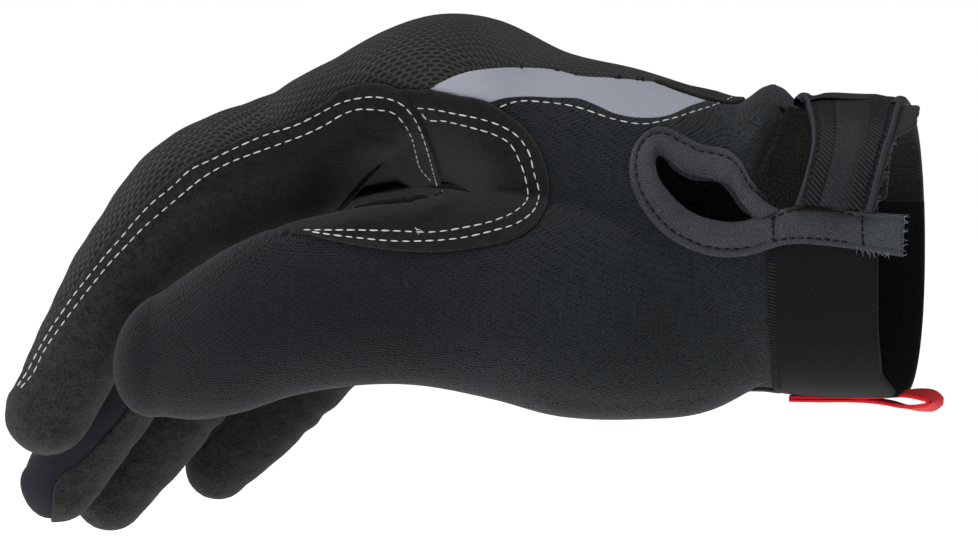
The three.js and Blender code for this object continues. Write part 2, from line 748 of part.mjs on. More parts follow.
// The pull loop: webbing doubled flat under the cuff, then open in a drop past its mouth
const cuffRow = palmSections[1];
const loopTop = palmZ(cuffRow.up) - (cuffRow.height * palmHeight) / 2 - seamGap;
const dropPoint = (row) => (
  new THREE.Vector2(row.along * pullLoopReach, loopTop - row.down * pullLoopHeight)
);
const drop = pullLoopCurve.map(dropPoint);
const loopShape = new THREE.Shape();
loopShape.moveTo(-pullLoopTail, loopTop);
loopShape.lineTo(drop[0].x, drop[0].y);
loopShape.bezierCurveTo(drop[1].x, drop[1].y, drop[2].x, drop[2].y, drop[3].x, drop[3].y);
const loopBase = loopTop - 2 * webbingThickness;
loopShape.bezierCurveTo(drop[4].x, drop[4].y, drop[5].x, drop[5].y, -pullLoopNeck * pullLoopReach, loopBase);
loopShape.lineTo(-pullLoopTail, loopBase);
const eyeFacets = 12;
const eyeMiddle = dropPoint(eyeCentre);
const eyeHalfLength = (1 - eyeCentre.along) * pullLoopReach - eyeEndWall;
const eyeHalfHeight = pullLoopHeight / 2 - webbingThickness;
const eyePoints = [];
for (let i = 0; i < eyeFacets; i += 1) {
  const angle = (2 * Math.PI * i) / eyeFacets;
  eyePoints.push(new THREE.Vector2(
    eyeMiddle.x + eyeHalfLength * Math.cos(angle),
    eyeMiddle.y + eyeHalfHeight * Math.sin(angle),
  ));
}
const eye = new THREE.Path(eyePoints);
loopShape.holes.push(eye);
const loopGeometry = new THREE.ExtrudeGeometry(loopShape, {
  depth: pullLoopWidth, bevelEnabled: false, curveSegments: 8,
});
loopGeometry.rotateX(Math.PI / 2);
loopGeometry.translate(0, pullLoopWidth / 2, 0);

add('palm_panel', palm, suedeBlack, 0.95);
add('back_panel', back, meshBlack, 0.9);
add('thumb_panel', thumbPanel, knitBlue, 0.85);
add('thumb_front', thumbFront, suedeBlack, 0.95);
add('saddle_patch', patch, suedeBlack, 0.95);
add('side_strip', strip, grey, 0.6);
add('notch_binding', binding, bindingGrey, 0.9);
add('cuff_band', cuffBand, elasticBlack, 0.85);
add('loop_patch', loopPatch, loopBlack, 1);
add('closure_strap', strap, rubberBlack, 0.55);
add('pull_loop', solid(loopGeometry), red, 0.7);

export default group;
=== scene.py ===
# Work glove for the right hand, in the form it has when worn
# Lengths here are millimetres and become metres when a mesh is made
# Seams on the thumb side are listed as points of the photograph, in pixels, and laid on the glove's skin

import math

import bpy
import numpy as np
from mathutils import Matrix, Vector
from mathutils.bvhtree import BVHTree
from mathutils.kdtree import KDTree


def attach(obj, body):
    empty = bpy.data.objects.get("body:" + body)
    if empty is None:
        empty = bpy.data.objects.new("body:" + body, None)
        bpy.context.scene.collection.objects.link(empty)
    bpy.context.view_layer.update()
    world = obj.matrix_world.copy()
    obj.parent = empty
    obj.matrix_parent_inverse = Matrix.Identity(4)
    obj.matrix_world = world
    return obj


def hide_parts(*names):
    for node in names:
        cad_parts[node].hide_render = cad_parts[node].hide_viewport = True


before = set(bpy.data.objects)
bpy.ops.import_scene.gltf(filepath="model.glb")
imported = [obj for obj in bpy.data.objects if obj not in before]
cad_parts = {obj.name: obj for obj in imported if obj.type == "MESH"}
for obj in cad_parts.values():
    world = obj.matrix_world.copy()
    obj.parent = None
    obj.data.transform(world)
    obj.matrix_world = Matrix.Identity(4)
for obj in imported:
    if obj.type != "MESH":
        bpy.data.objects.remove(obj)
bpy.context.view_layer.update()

MM = 0.001
IMAGE_WIDTH = 978
IMAGE_HEIGHT = 550

# Hand sizes
PALM_LENGTH = 139
PALM_BREADTH = 88
PALM_HEIGHT = 64
THUMB_LENGTH = 142
THUMB_BREADTH = 40
THUMB_DEPTH = 30
MOUTH_TRIM = 1.4
THUMB_START = 0.18
THUMB_END = 0.925
THUMB_TIP_DROP = 0.25

# Corners of the sections, how square they are (1 is an ellipse), and the turns that make a round end
PALM_CORNERS = 120
THUMB_CORNERS = 90
FINGER_CORNERS = 64
PALM_FULLNESS = 0.9
ROUND_FULLNESS = 0.95
ROUND_END = np.radians([10, 20, 30, 40, 50, 60, 70, 78, 85])

# Fabric and stitch sizes
VOXEL = 1.0
KNIT = 1.1
SUEDE = 1.0
ELASTIC_THICK = 1.3
STITCH_PITCH = 2.5
STITCH_LENGTH = 1.9
STITCH_WIDTH = 0.33
STITCH_LIFT = 0.05
TAPE = 1.0
TAPE_HALF = 4

# along, across, up, breadth and height are shares of the palm's sizes, roll is in degrees
PALM_SECTIONS = [
    (0, 0, -0.02, 0.66, 0.98, 0),
    (0.1, 0, -0.018, 0.67, 0.99, 0),
    (0.172, 0, -0.006, 0.68, 1, 0),
    (0.208, 0, 0.033, 0.7, 1.06, 0),
    (0.252, 0, 0.01, 0.74, 1.01, 1),
    (0.32, 0, 0.04, 0.8, 1.01, 2),
    (0.43, 0, 0.125, 0.9, 0.98, 6),
    (0.54, 0, 0.25, 0.96, 0.83, 9),
    (0.645, 0, 0.435, 1, 0.65, 12),
    (0.72, 0, 0.475, 1, 0.58, 13),
    (0.805, -0.01, 0.435, 0.97, 0.53, 14),
    (0.878, -0.09, 0.385, 0.8, 0.44, 16),
    (0.94, -0.17, 0.335, 0.64, 0.4, 19),
    (1, -0.23, 0.27, 0.48, 0.35, 22),
]

# along is a share of the thumb's length, across and up of the palm's, breadth and depth of the thumb's
THUMB_SECTIONS = [
    (0, -0.1, -0.2, 0.7, 0.8),
    (0.11, -0.2, -0.22, 1.08, 1.15),
    (0.21, -0.3, -0.21, 1.18, 1.3),
    (0.32, -0.4, -0.19, 1.19, 1.24),
    (0.41, -0.46, -0.16, 1.1, 1.12),
    (0.53, -0.53, -0.14, 1.0, 0.96),
    (0.65, -0.56, -0.17, 0.95, 0.9),
    (0.72, -0.57, -0.205, 0.94, 0.88),
    (0.79, -0.57, -0.26, 0.93, 0.86),
    (0.865, -0.55, -0.32, 0.83, 0.8),
    (0.925, -0.53, -0.36, 0.68, 0.72),
]

# name, length, breadth, root along, across and up, three phalanges, their angles below level, where it
# leaves the hand as a share of its length
FINGERS = [
    ("index", 123, 22.4, 0.705, -0.352, 0.6, (0.517, 0.185, 0.298), (24, 52, 60.6), 0.375),
    ("middle", 126, 21, 0.77, -0.102, 0.55, (0.47, 0.247, 0.283), (36.7, 54, 55.4), 0.3),
    ("ring", 118, 20.4, 0.79, 0.136, 0.47, (0.49, 0.256, 0.254), (45.7, 53, 50.4), 0.26),
    ("little", 95, 18.4, 0.785, 0.364, 0.33, (0.546, 0.205, 0.249), (57.9, 47, 43.3), 0.24),
]
# A finger's breadth along its length, as a share of its full breadth
FINGER_FULL = [(0, 1), (0.3, 1), (0.46, 1.01), (0.56, 0.99), (0.68, 0.96), (0.84, 0.91), (1, 0.82)]

# Each finger's side strips, as the lower and upper seam's heights in half breadths, near side and far side
FORK_SEAMS = [
    ((-0.38, 0.46), (-0.38, 0.46)),
    ((-0.38, 0.85), (-0.38, 0.46)),
    ((0.2, 0.7), (-0.38, 0.46)),
    ((0.5, 0.84), (-0.38, 0.46)),
]

# The middle finger's knit and suede meet on this line of pixels. The knit shows left of the start columns
MIDDLE_FORK_EDGE = [
    (152, 385), (139, 395), (126, 414), (105, 439), (80, 465), (67, 473), (59, 481), (55, 492),
    (54, 505), (52, 522),
]
MIDDLE_FORK_START = 176
RING_FORK_START = 150

# How far the index finger's underside hangs below its centre line's round, where it rests on the thumb
INDEX_UNDERSIDE = 8

# The cuff's near edge, in pixels
CUFF_EDGE = [(876, 180), (876, 257), (876, 327), (880, 375), (888, 386), (893, 392)]

# The far side's seam, as a height over the palm's middle at shares of its length
FAR_LEVEL = [(0.17, 10.6), (0.3, 1), (0.45, 0), (0.7, -0.7), (1.1, -1.5)]

# How deep the thumb panel's lower seam lies, from cuff to thumb tip
THUMB_SEAM = [
    (0, -0.08), (0.28, -0.12), (0.4, -0.22), (0.5, -0.33), (0.6, -0.4), (0.72, -0.47), (0.9, -0.5),
    (1.3, -0.5),
]

# Seams of the thumb side, in pixels of the photograph
INDEX_EDGE = [
    (8, 398), (14, 390), (20, 379), (31, 359), (47, 330), (69, 297), (88, 270), (100, 253), (115, 235),
    (131, 217), (150, 199), (169, 181), (187, 167), (211, 154), (240, 140), (262, 131), (298, 118),
    (326, 103), (339, 92), (357, 86), (374, 84), (390, 86), (401, 90),
]
INDEX_ROWS = [
    [
        (17, 387), (26, 374), (35, 357), (52, 327), (63, 311), (74, 295), (93, 271), (105, 256),
        (120, 239), (135, 221), (151, 204), (173, 186), (189, 171), (213, 159), (242, 145), (263, 136),
        (299, 124), (328, 109), (340, 103), (355, 99), (372, 97), (389, 99), (401, 104), (414, 118),
        (423, 137), (429, 156), (434, 175), (437, 186),
    ],
    [
        (20, 389), (34, 372), (43, 353), (61, 326), (72, 311), (84, 295), (97, 279), (109, 264),
        (126, 246), (141, 230), (158, 215), (179, 197), (204, 177), (231, 162), (255, 153), (280, 144),
        (309, 133), (327, 124), (340, 116), (355, 110), (376, 110), (393, 113), (404, 124), (412, 139),
        (416, 154), (420, 168), (430, 180),
    ],
]
INDEX_END = [(401, 90), (409, 101), (421, 120), (431, 140), (438, 164), (441, 186), (442, 197)]
SADDLE_EDGE = [
    (401, 90), (429, 91), (458, 97), (486, 103), (505, 115), (524, 130), (538, 151), (547, 179),
    (545, 206), (534, 225), (513, 238), (481, 246), (439, 251), (401, 250), (366, 246), (334, 240),
    (313, 235), (282, 233),
]
SADDLE_ROWS = [
    [
        (415, 108), (430, 109), (456, 114), (484, 120), (503, 127), (517, 136), (528, 151), (534, 173),
        (539, 196), (534, 210), (519, 222), (492, 231), (460, 238), (423, 241), (393, 241), (359, 238),
        (334, 235), (313, 232),
    ],
    [
        (422, 112), (425, 118), (444, 121), (473, 128), (495, 135), (509, 143), (519, 160), (526, 181),
        (527, 200), (517, 210), (496, 220), (467, 227), (433, 232), (397, 231), (355, 230), (324, 230),
        (306, 230),
    ],
]
STRIP_TOP = [
    (429, 90), (444, 81), (463, 73), (492, 68), (524, 67), (555, 69), (580, 75), (612, 77), (645, 80),
    (677, 85), (725, 95),
]
STRIP_BOTTOM = [
    (456, 97), (486, 103), (503, 98), (524, 96), (555, 97), (580, 98), (598, 105), (613, 112),
    (640, 117), (667, 115), (693, 104), (720, 96), (733, 92),
]
STRIP_ROW = [
    (498, 108), (511, 103), (524, 101), (541, 102), (560, 104), (576, 107), (592, 112), (606, 117),
    (621, 121), (643, 124), (667, 120), (693, 112), (720, 103), (733, 97),
]
SLIT_HOLE = [
    (655, 167), (656, 155), (660, 151), (666, 156), (675, 167), (684, 173), (693, 177), (706, 178),
    (720, 180), (731, 191), (738, 201), (744, 209), (757, 217), (741, 223), (725, 223), (709, 220),
    (697, 216), (685, 209), (675, 200), (667, 191),
]

# The binding, from its upper end round the slit and out along the tail: outer edge beside inner edge
BINDING = [
    ((792, 207), (757, 221)),
    ((772, 199), (752, 215)),
    ((760, 192), (746, 208)),
    ((751, 181), (739, 200)),
    ((746, 170), (733, 190)),
    ((740, 159), (727, 184)),
    ((726, 149), (715, 179)),
    ((705, 147), (698, 177)),
    ((690, 140), (686, 173)),
    ((677, 133), (677, 167)),
    ((661, 127), (668, 159)),
    ((647, 131), (661, 153)),
    ((635, 143), (656, 156)),
    ((629, 160), (655, 163)),
    ((630, 184), (658, 176)),
    ((641, 208), (667, 191)),
    ((659, 231), (682, 206)),
    ((680, 245), (697, 215)),
    ((704, 255), (713, 220)),
    ((731, 258), (735, 223)),
    ((757, 254), (757, 217)),
    ((779, 246), (777, 209)),
    ((800, 244), (803, 204)),
    ((827, 246), (828, 205)),
    ((852, 249), (850, 209)),
    ((877, 253), (876, 213)),
    ((903, 257), (905, 215)),
]

# Camera: the photograph's own view of the glove
VIEW_TURN = math.radians(-13.5)
VIEW_RISE = math.radians(2)
VIEW_DISTANCE = 1100
FOCAL_PIXELS = 4889
AIM = np.array([-92.7, 0.0, -6.75])
FORWARD = np.array([
    math.sin(VIEW_TURN) * math.cos(VIEW_RISE),
    math.cos(VIEW_TURN) * math.cos(VIEW_RISE),
    -math.sin(VIEW_RISE),
])
RIGHT = np.array([math.cos(VIEW_TURN), -math.sin(VIEW_TURN), 0.0])
OVER = np.cross(RIGHT, FORWARD)
EYE = AIM - FORWARD * VIEW_DISTANCE
PIXEL = VIEW_DISTANCE / FOCAL_PIXELS


def seen(points):
    """Where points fall in the photograph, in pixels."""
    off = points - EYE
    depth = off @ FORWARD
    return np.stack([
        IMAGE_WIDTH / 2 + FOCAL_PIXELS * (off @ RIGHT) / depth,
        IMAGE_HEIGHT / 2 - FOCAL_PIXELS * (off @ OVER) / depth,
    ], axis=-1)


def sight(pixel):
    """The direction in which the camera sees a pixel."""
    x, y = pixel
    way = FORWARD + RIGHT * (x - IMAGE_WIDTH / 2) / FOCAL_PIXELS
    way = way + OVER * (IMAGE_HEIGHT / 2 - y) / FOCAL_PIXELS
    return way / np.linalg.norm(way)


def smooth_rows(x, rows, at):
    """Rows of numbers given at rising x, drawn smoothly and read at other places."""
    x = np.asarray(x, float)
    y = np.asarray(rows, float)
    at = np.asarray(at, float)
    step = np.diff(x)[:, None]
    slope = np.diff(y, axis=0) / step
    middle = (slope[1:] * step[:-1] + slope[:-1] * step[1:]) / (step[:-1] + step[1:])
    turn = np.vstack([slope[:1], middle, slope[-1:]])
    i = np.clip(np.searchsorted(x, at, side="right") - 1, 0, len(x) - 2)
    h = step[i]
    t = ((at - x[i])[:, None]) / h
    return (
        (2 * t**3 - 3 * t**2 + 1) * y[i]
        + (t**3 - 2 * t**2 + t) * h * turn[i]
        + (3 * t**2 - 2 * t**3) * y[i + 1]
        + (t**3 - t**2) * h * turn[i + 1]
    )


def run_along(line):
    """The way along a line, from its start to each of its points."""
    return np.concatenate([[0], np.cumsum(np.linalg.norm(np.diff(line, axis=0), axis=1))])


def smooth_line(points, count, closed=False):
    """A smooth line of count points through the given ones."""
    points = np.asarray(points, float)
    if closed:
        points = np.vstack([points[-2:], points, points[:3]])
    length = run_along(points)
    if closed:
        at = np.linspace(length[2], length[-3], count, endpoint=False)
    else:
        at = np.linspace(0, length[-1], count)
    return smooth_rows(length, points, at)


def ramp(value, low, high):
    """0 below low, 1 above high, smooth between."""
    t = np.clip((value - low) / (high - low), 0, 1)
    return t * t * (3 - 2 * t)


def line_distance(at, line):
    """Distance from points to a polyline in the plane, and the side: above 0 on its left."""
    best = np.full(len(at), 1e9)
    side = np.zeros(len(at))
    for a, b in zip(line[:-1], line[1:]):
        along = b - a
        size = float(along @ along)
        if size < 1e-12:
            continue
        t = np.clip(((at - a) @ along) / size, 0, 1)
        off = at - a - t[:, None] * along
        d = np.hypot(off[:, 0], off[:, 1])
        turn = along[0] * (at[:, 1] - a[1]) - along[1] * (at[:, 0] - a[0])
        nearer = d < best - 1e-9
        best = np.where(nearer, d, best)
        side = np.where(nearer, turn, side)
    return best, side


def side_distance(at, line, count):
    """Distance from points to a smooth line of count points through a list, above 0 on its left."""
    gap, side = line_distance(at, smooth_line(line, count))
    return np.where(side > 0, 1.0, -1.0) * gap


def outline_distance(at, outline):
    """Distance to a closed outline in the plane, above 0 inside it."""
    loop = np.vstack([outline, outline[:1]])
    best, _ = line_distance(at, loop)
    inside = np.zeros(len(at), bool)
    for a, b in zip(loop[:-1], loop[1:]):
        crosses = (a[1] > at[:, 1]) != (b[1] > at[:, 1])
        x = a[0] + (at[:, 1] - a[1]) * (b[0] - a[0]) / np.where(b[1] == a[1], 1e-9, b[1] - a[1])
        inside ^= crosses & (at[:, 0] < x)
    return np.where(inside, best, -best)


# The glove's form: closed lofts through smooth sections, fused into one skin

def palm_rows(x):
    """Middle across and up, half breadth, half height and roll of the hand at places along it."""
    along = np.clip((MOUTH_TRIM - np.asarray(x, float)) / PALM_LENGTH, 0, 1)
    table = np.array(PALM_SECTIONS)
    rows = smooth_rows(table[:, 0], table[:, 1:], along)
    return (
        rows[:, 0] * PALM_BREADTH,
        rows[:, 1] * PALM_HEIGHT,
        rows[:, 2] * PALM_BREADTH / 2,
        rows[:, 3] * PALM_HEIGHT / 2,
        np.radians(rows[:, 4]),
    )


def thumb_rows(x):
    """Middle across and up, half depth and half breadth of the thumb at places along it."""
    start = MOUTH_TRIM - THUMB_START * PALM_LENGTH
    along = np.clip((start - np.asarray(x, float)) / THUMB_LENGTH, 0, THUMB_END)
    table = np.array(THUMB_SECTIONS)
    rows = smooth_rows(table[:, 0], table[:, 1:], along)
    return (
        rows[:, 0] * PALM_BREADTH,
        rows[:, 1] * PALM_HEIGHT,
        rows[:, 3] * THUMB_DEPTH / 2,
        rows[:, 2] * THUMB_BREADTH / 2,
    )


def finger_line(finger, count=240):
    """A finger's centre line with its direction and the direction of its back."""
    _, length, _, along, across, up, parts, bends, _ = finger
    joints = [np.array([MOUTH_TRIM - along * PALM_LENGTH, across * PALM_BREADTH, up * PALM_HEIGHT])]
    for part, bend in zip(parts, bends):
        turn = math.radians(bend)
        joints.append(joints[-1] + np.array([-math.cos(turn), 0, -math.sin(turn)]) * part * length)
    stops = np.array([joints[0], (joints[0] + joints[1]) / 2, joints[1], joints[2], joints[3]])
    rough = smooth_line(stops, 400)
    way = run_along(rough)
    at = np.linspace(0, way[-1], count)
    line = np.stack([np.interp(at, way, rough[:, k]) for k in range(3)], axis=1)
    forward = np.gradient(line, axis=0)
    forward /= np.linalg.norm(forward, axis=1)[:, None]
    back = np.cross(np.array([0.0, 1.0, 0.0]), forward)
    back /= np.linalg.norm(back, axis=1)[:, None]
    return line, forward, back, at / way[-1], way[-1]


def section(centre, side, up, half_side, half_up, count, fullness):
    """One oval ring of points. A fullness below 1 makes it squarer."""
    angle = 2 * np.pi * (np.arange(count) + 0.5) / count
    c = np.cos(angle)
    s = np.sin(angle)
    return (
        centre
        + np.outer(half_side * np.sign(c) * np.abs(c) ** fullness, side)
        + np.outer(half_up * np.sign(s) * np.abs(s) ** fullness, up)
    )


def loft(rings):
    """A closed mesh through rings of points: its points and faces."""
    rows, count, _ = rings.shape
    points = np.vstack([rings.reshape(-1, 3), rings[0].mean(0), rings[-1].mean(0)])
    faces = []
    for row in range(rows - 1):
        for i in range(count):
            a = row * count + i
            b = row * count + (i + 1) % count
            faces.append((a, b, b + count, a + count))
    for i in range(count):
        j = (i + 1) % count
        faces.append((len(points) - 2, j, i))
        faces.append((len(points) - 1, (rows - 1) * count + i, (rows - 1) * count + j))
    return points, faces


def hand_lofts():
    """The palm, the thumb, the fingers and the index finger's underside as closed lofts."""
    shapes = []
    stations = MOUTH_TRIM - np.linspace(0, 1, 120) * PALM_LENGTH
    across, up, half_side, half_up, roll = palm_rows(stations)
    rings = []
    for i, x in enumerate(stations):
        side = np.array([0, math.cos(roll[i]), -math.sin(roll[i])])
        rise = np.array([0, math.sin(roll[i]), math.cos(roll[i])])
        centre = np.array([x, across[i], up[i]])
        rings.append(section(centre, side, rise, half_side[i], half_up[i], PALM_CORNERS, PALM_FULLNESS))
    rings.insert(0, rings[0] + np.array([6.0, 0, 0]))
    shapes.append(loft(np.array(rings)))
    side = np.array([0.0, 1, 0])
    rise = np.array([0.0, 0, 1])
    start = MOUTH_TRIM - THUMB_START * PALM_LENGTH
    stations = start - np.linspace(0, THUMB_END, 110) * THUMB_LENGTH
    across, up, half_side, half_up = thumb_rows(stations)
    rings = []
    for i, x in enumerate(stations):
        centre = np.array([x, across[i], up[i]])
        rings.append(section(centre, side, rise, half_side[i], half_up[i], THUMB_CORNERS, ROUND_FULLNESS))
    for turn in ROUND_END:
        centre = np.array([
            stations[-1] - half_side[-1] * math.sin(turn),
            across[-1],
            up[-1] - THUMB_TIP_DROP * half_side[-1] * math.sin(turn),
        ])
        shrink = math.cos(turn)
        wide, tall = half_side[-1] * shrink, half_up[-1] * shrink
        rings.append(section(centre, side, rise, wide, tall, THUMB_CORNERS, ROUND_FULLNESS))
    shapes.append(loft(np.array(rings)))
    full = np.array(FINGER_FULL)
    for finger in FINGERS:
        line, forward, back, share, _ = finger_line(finger, 100)
        half = smooth_rows(full[:, 0], full[:, 1:], share)[:, 0] * finger[2] / 2
        rings = [
            section(line[i], side, back[i], half[i], half[i], FINGER_CORNERS, ROUND_FULLNESS)
            for i in range(len(line))
        ]
        for turn in ROUND_END:
            centre = line[-1] + forward[-1] * half[-1] * math.sin(turn)
            size = half[-1] * math.cos(turn)
            rings.append(section(centre, side, back[-1], size, size, FINGER_CORNERS, ROUND_FULLNESS))
        shapes.append(loft(np.array(rings)))
    line, forward, back, share, length = finger_line(FINGERS[0], 100)
    half = smooth_rows(full[:, 0], full[:, 1:], share)[:, 0] * FINGERS[0][2] / 2
    drop = INDEX_UNDERSIDE * ramp(share * length, 12, 40) * (1 - ramp(share * length, 58, 92))
    half *= 0.96
    shapes.append(loft(np.array([
        section(line[i] - back[i] * drop[i], side, back[i], half[i], half[i], FINGER_CORNERS, ROUND_FULLNESS)
        for i in range(len(line))
    ])))
    return shapes


def new_mesh(name, points, faces):
    """A mesh in metres from points in millimetres."""
    mesh = bpy.data.meshes.new(name)
    corners = [tuple(p * MM) for p in np.asarray(points, float)]
    mesh.from_pydata(corners, [], [tuple(int(i) for i in f) for f in faces])
    mesh.update()
    return mesh


def fused_skin():
    """All the lofts as one surface of even triangles: points and triangles."""
    points = []
    faces = []
    start = 0
    for shape_points, shape_faces in hand_lofts():
        points.append(shape_points)
        faces.extend([tuple(i + start for i in face) for face in shape_faces])
        start += len(shape_points)
    rough = bpy.data.objects.new("rough_skin", new_mesh("rough_skin", np.vstack(points), faces))
    bpy.context.collection.objects.link(rough)
    remesh = rough.modifiers.new("fuse", "REMESH")
    remesh.mode = "VOXEL"
    remesh.voxel_size = VOXEL * MM
    graph = bpy.context.evaluated_depsgraph_get()
    made = rough.evaluated_get(graph).to_mesh()
    count = len(made.vertices)
    flat = np.empty(count * 3)
    made.vertices.foreach_get("co", flat)
    made.calc_loop_triangles()
    index = np.empty(len(made.loop_triangles) * 3, dtype=np.int32)
    made.loop_triangles.foreach_get("vertices", index)
    rough.to_mesh_clear()
    bpy.data.objects.remove(rough)
    return flat.reshape(-1, 3) / MM, index.reshape(-1, 3).astype(int)


def edges_of(triangles):
    """Each edge of the triangles once, as a pair of points."""
    pairs = np.sort(triangles[:, [0, 1, 1, 2, 2, 0]].reshape(-1, 2), axis=1)
    return np.unique(pairs, axis=0)


def neighbour_mean(values, edges, count):
    """For each point the mean of its neighbours' values."""
    total = np.zeros_like(values)
    weight = np.bincount(edges.ravel(), minlength=count).astype(float)
    for k in range(values.shape[1]):
        total[:, k] = (
            np.bincount(edges[:, 0], values[edges[:, 1], k], count)
            + np.bincount(edges[:, 1], values[edges[:, 0], k], count)
        )
    return total / np.maximum(weight, 1)[:, None]


def relaxed(points, edges, rounds, strength=0.5, back=-0.53):
    """Points smoothed by a pull to their neighbours and a push back, so that the skin doesn't shrink."""
    points = points.copy()
    for _ in range(rounds):
        for pull in (strength, back):
            points += pull * (neighbour_mean(points, edges, len(points)) - points)
    return points


def face_normals(points, triangles):
    """Each triangle's normal, as long as twice its area."""
    corner = points[triangles[:, 0]]
    return np.cross(points[triangles[:, 1]] - corner, points[triangles[:, 2]] - corner)


def point_normals(points, triangles):
    """Normals at the points, weighted by the triangles' areas."""
    normal = face_normals(points, triangles)
    out = np.zeros_like(points)
    for corner in range(3):
        for k in range(3):
            out[:, k] += np.bincount(triangles[:, corner], normal[:, k], len(points))
    size = np.linalg.norm(out, axis=1)
    return out / np.maximum(size, 1e-12)[:, None]


def steepness(field, points, triangles):
    """How fast a field changes over the surface, at each point."""
    a, b, c = (points[triangles[:, k]] for k in range(3))
    normal = np.cross(b - a, c - a)
    area = np.linalg.norm(normal, axis=1)
    unit = normal / np.maximum(area, 1e-12)[:, None]
    fa, fb, fc = (field[triangles[:, k]] for k in range(3))
    gradient = (
        np.cross(unit, c - b) * fa[:, None]
        + np.cross(unit, a - c) * fb[:, None]
        + np.cross(unit, b - a) * fc[:, None]
    ) / np.maximum(area, 1e-9)[:, None]
    size = np.linalg.norm(gradient, axis=1)
    total = np.zeros(len(points))
    weight = np.zeros(len(points))
    for corner in range(3):
        total += np.bincount(triangles[:, corner], size * area, len(points))
        weight += np.bincount(triangles[:, corner], area, len(points))
    return total / np.maximum(weight, 1e-12)


# Where each point of the skin lies on the hand, the thumb and the fingers

# How many points are measured against a finger's line at once
BLOCK = 8000


def palm_place(points):
    """Place across and up in the palm's section, and the gap to the palm's surface."""
    across, up, half_side, half_up, roll = palm_rows(points[:, 0])
    dy = points[:, 1] - across
    dz = points[:, 2] - up
    a = dy * np.cos(roll) - dz * np.sin(roll)
    b = dy * np.sin(roll) + dz * np.cos(roll)
    size = (np.abs(a / half_side) ** 2.22 + np.abs(b / half_up) ** 2.22) ** 0.45
    off = (size - 1) * np.minimum(half_side, half_up)
    off = np.maximum(off, MOUTH_TRIM - PALM_LENGTH - points[:, 0])
    return a, b, off


def thumb_place(points):
    """Place across and up in the thumb's section, and the gap to the thumb's surface."""
    across, up, half_side, half_up = thumb_rows(points[:, 0])
    tip = MOUTH_TRIM - THUMB_START * PALM_LENGTH - THUMB_END * THUMB_LENGTH
    past = np.maximum(tip - points[:, 0], 0)
    dy = points[:, 1] - across
    dz = points[:, 2] - up + THUMB_TIP_DROP * past
    size = np.sqrt((dy / half_side) ** 2 + (dz / half_up) ** 2 + (past / half_side) ** 2)
    off = (size - 1) * np.minimum(half_side, half_up)
    return dy, dz, off


def finger_place(points, finger):
    """Run along a finger, place across and up, half breadth there, the finger's length and the gap to it."""
    line, forward, back, share, length = finger_line(finger)
    nearest = np.empty(len(points), int)
    for start in range(0, len(points), BLOCK):
        block = points[start:start + BLOCK]
        gap = ((block[:, None, :] - line[None]) ** 2).sum(2)
        nearest[start:start + BLOCK] = gap.argmin(1)
    off = points - line[nearest]
    along = (off * forward[nearest]).sum(1)
    b = (off * back[nearest]).sum(1)
    a = off[:, 1]
    full = np.array(FINGER_FULL)
    half = smooth_rows(full[:, 0], full[:, 1:], share[nearest])[:, 0] * finger[2] / 2
    past = np.maximum(along, 0) * (nearest == len(line) - 1)
    before = np.maximum(-along, 0) * (nearest == 0)
    gap = np.sqrt(a ** 2 + b ** 2 + past ** 2) - half + 3 * before
    return share[nearest] * length + along, a, b, half, length, gap


def palm_x(along):
    """The x of a share of the palm's length."""
    return MOUTH_TRIM - along * PALM_LENGTH


# Where the suede tucks in between index finger and thumb, in pixels: its lower edge, its fold and its crease
FLAP_EDGE = [
    (442, 197), (428, 202), (414, 206), (395, 208), (376, 209), (357, 212), (338, 216), (318, 222),
    (300, 229), (282, 235),
]
FOLD_EDGE = [(372, 138), (388, 153), (399, 167), (408, 182), (413, 195), (415, 208)]
CREASE = [(442, 196), (454, 193), (470, 190), (486, 188), (502, 186)]


def fold_depth(pixel):
    """How far the suede folds in between thumb and index finger, away from the camera, in millimetres."""
    over = side_distance(pixel, FLAP_EDGE, 40)
    left = side_distance(pixel, FOLD_EDGE, 30)
    hollow = 8.0 * ramp(over, -1, 9) * (1 - ramp(over, 14, 75))
    hollow *= ramp(left, -2, 8) * (1 - ramp(left, 20, 110))
    hollow *= ramp(pixel[:, 0], 270, 340)
    tuck = 3.2 * ramp(over, -1, 6) * (1 - ramp(over, 8, 26))
    tuck *= ramp(pixel[:, 0], 402, 416) * (1 - ramp(pixel[:, 0], 438, 446))
    above = -side_distance(pixel, CREASE, 24)
    valley = 3.0 * ramp(above, -2, 5) * (1 - ramp(above, 8, 34)) * ramp(pixel[:, 0], 432, 446)
    valley *= 1 - ramp(pixel[:, 0], 478, 512)
    roll = -1.6 * np.exp(-((over + 9) / 9) ** 2)
    roll *= ramp(pixel[:, 0], 290, 350) * (1 - ramp(pixel[:, 0], 470, 520))
    return hollow + tuck + valley + roll


def wrist_folds(pixel):
    """Soft folds of the knit over the wrist, away from the camera in millimetres. The last one is a roll."""
    total = np.zeros(len(pixel))
    for line, depth, width in (
        ([(786, 108), (778, 128), (768, 150), (762, 176), (764, 200)], 2.4, 7),
        ([(735, 112), (748, 122), (760, 138), (764, 158)], 0.7, 8),
        ([(757, 262), (752, 300), (756, 340), (766, 385)], 0.5, 12),
        ([(560, 398), (600, 404), (650, 405), (700, 398)], 0.5, 8),
        ([(590, 150), (600, 180), (606, 215), (626, 245)], 0.45, 12),
        ([(776, 92), (772, 110), (760, 128), (748, 146)], -1.3, 9),
    ):
        d, _ = line_distance(pixel, smooth_line(line, 20))
        total += depth * np.exp(-((d / width) ** 2))
    return total


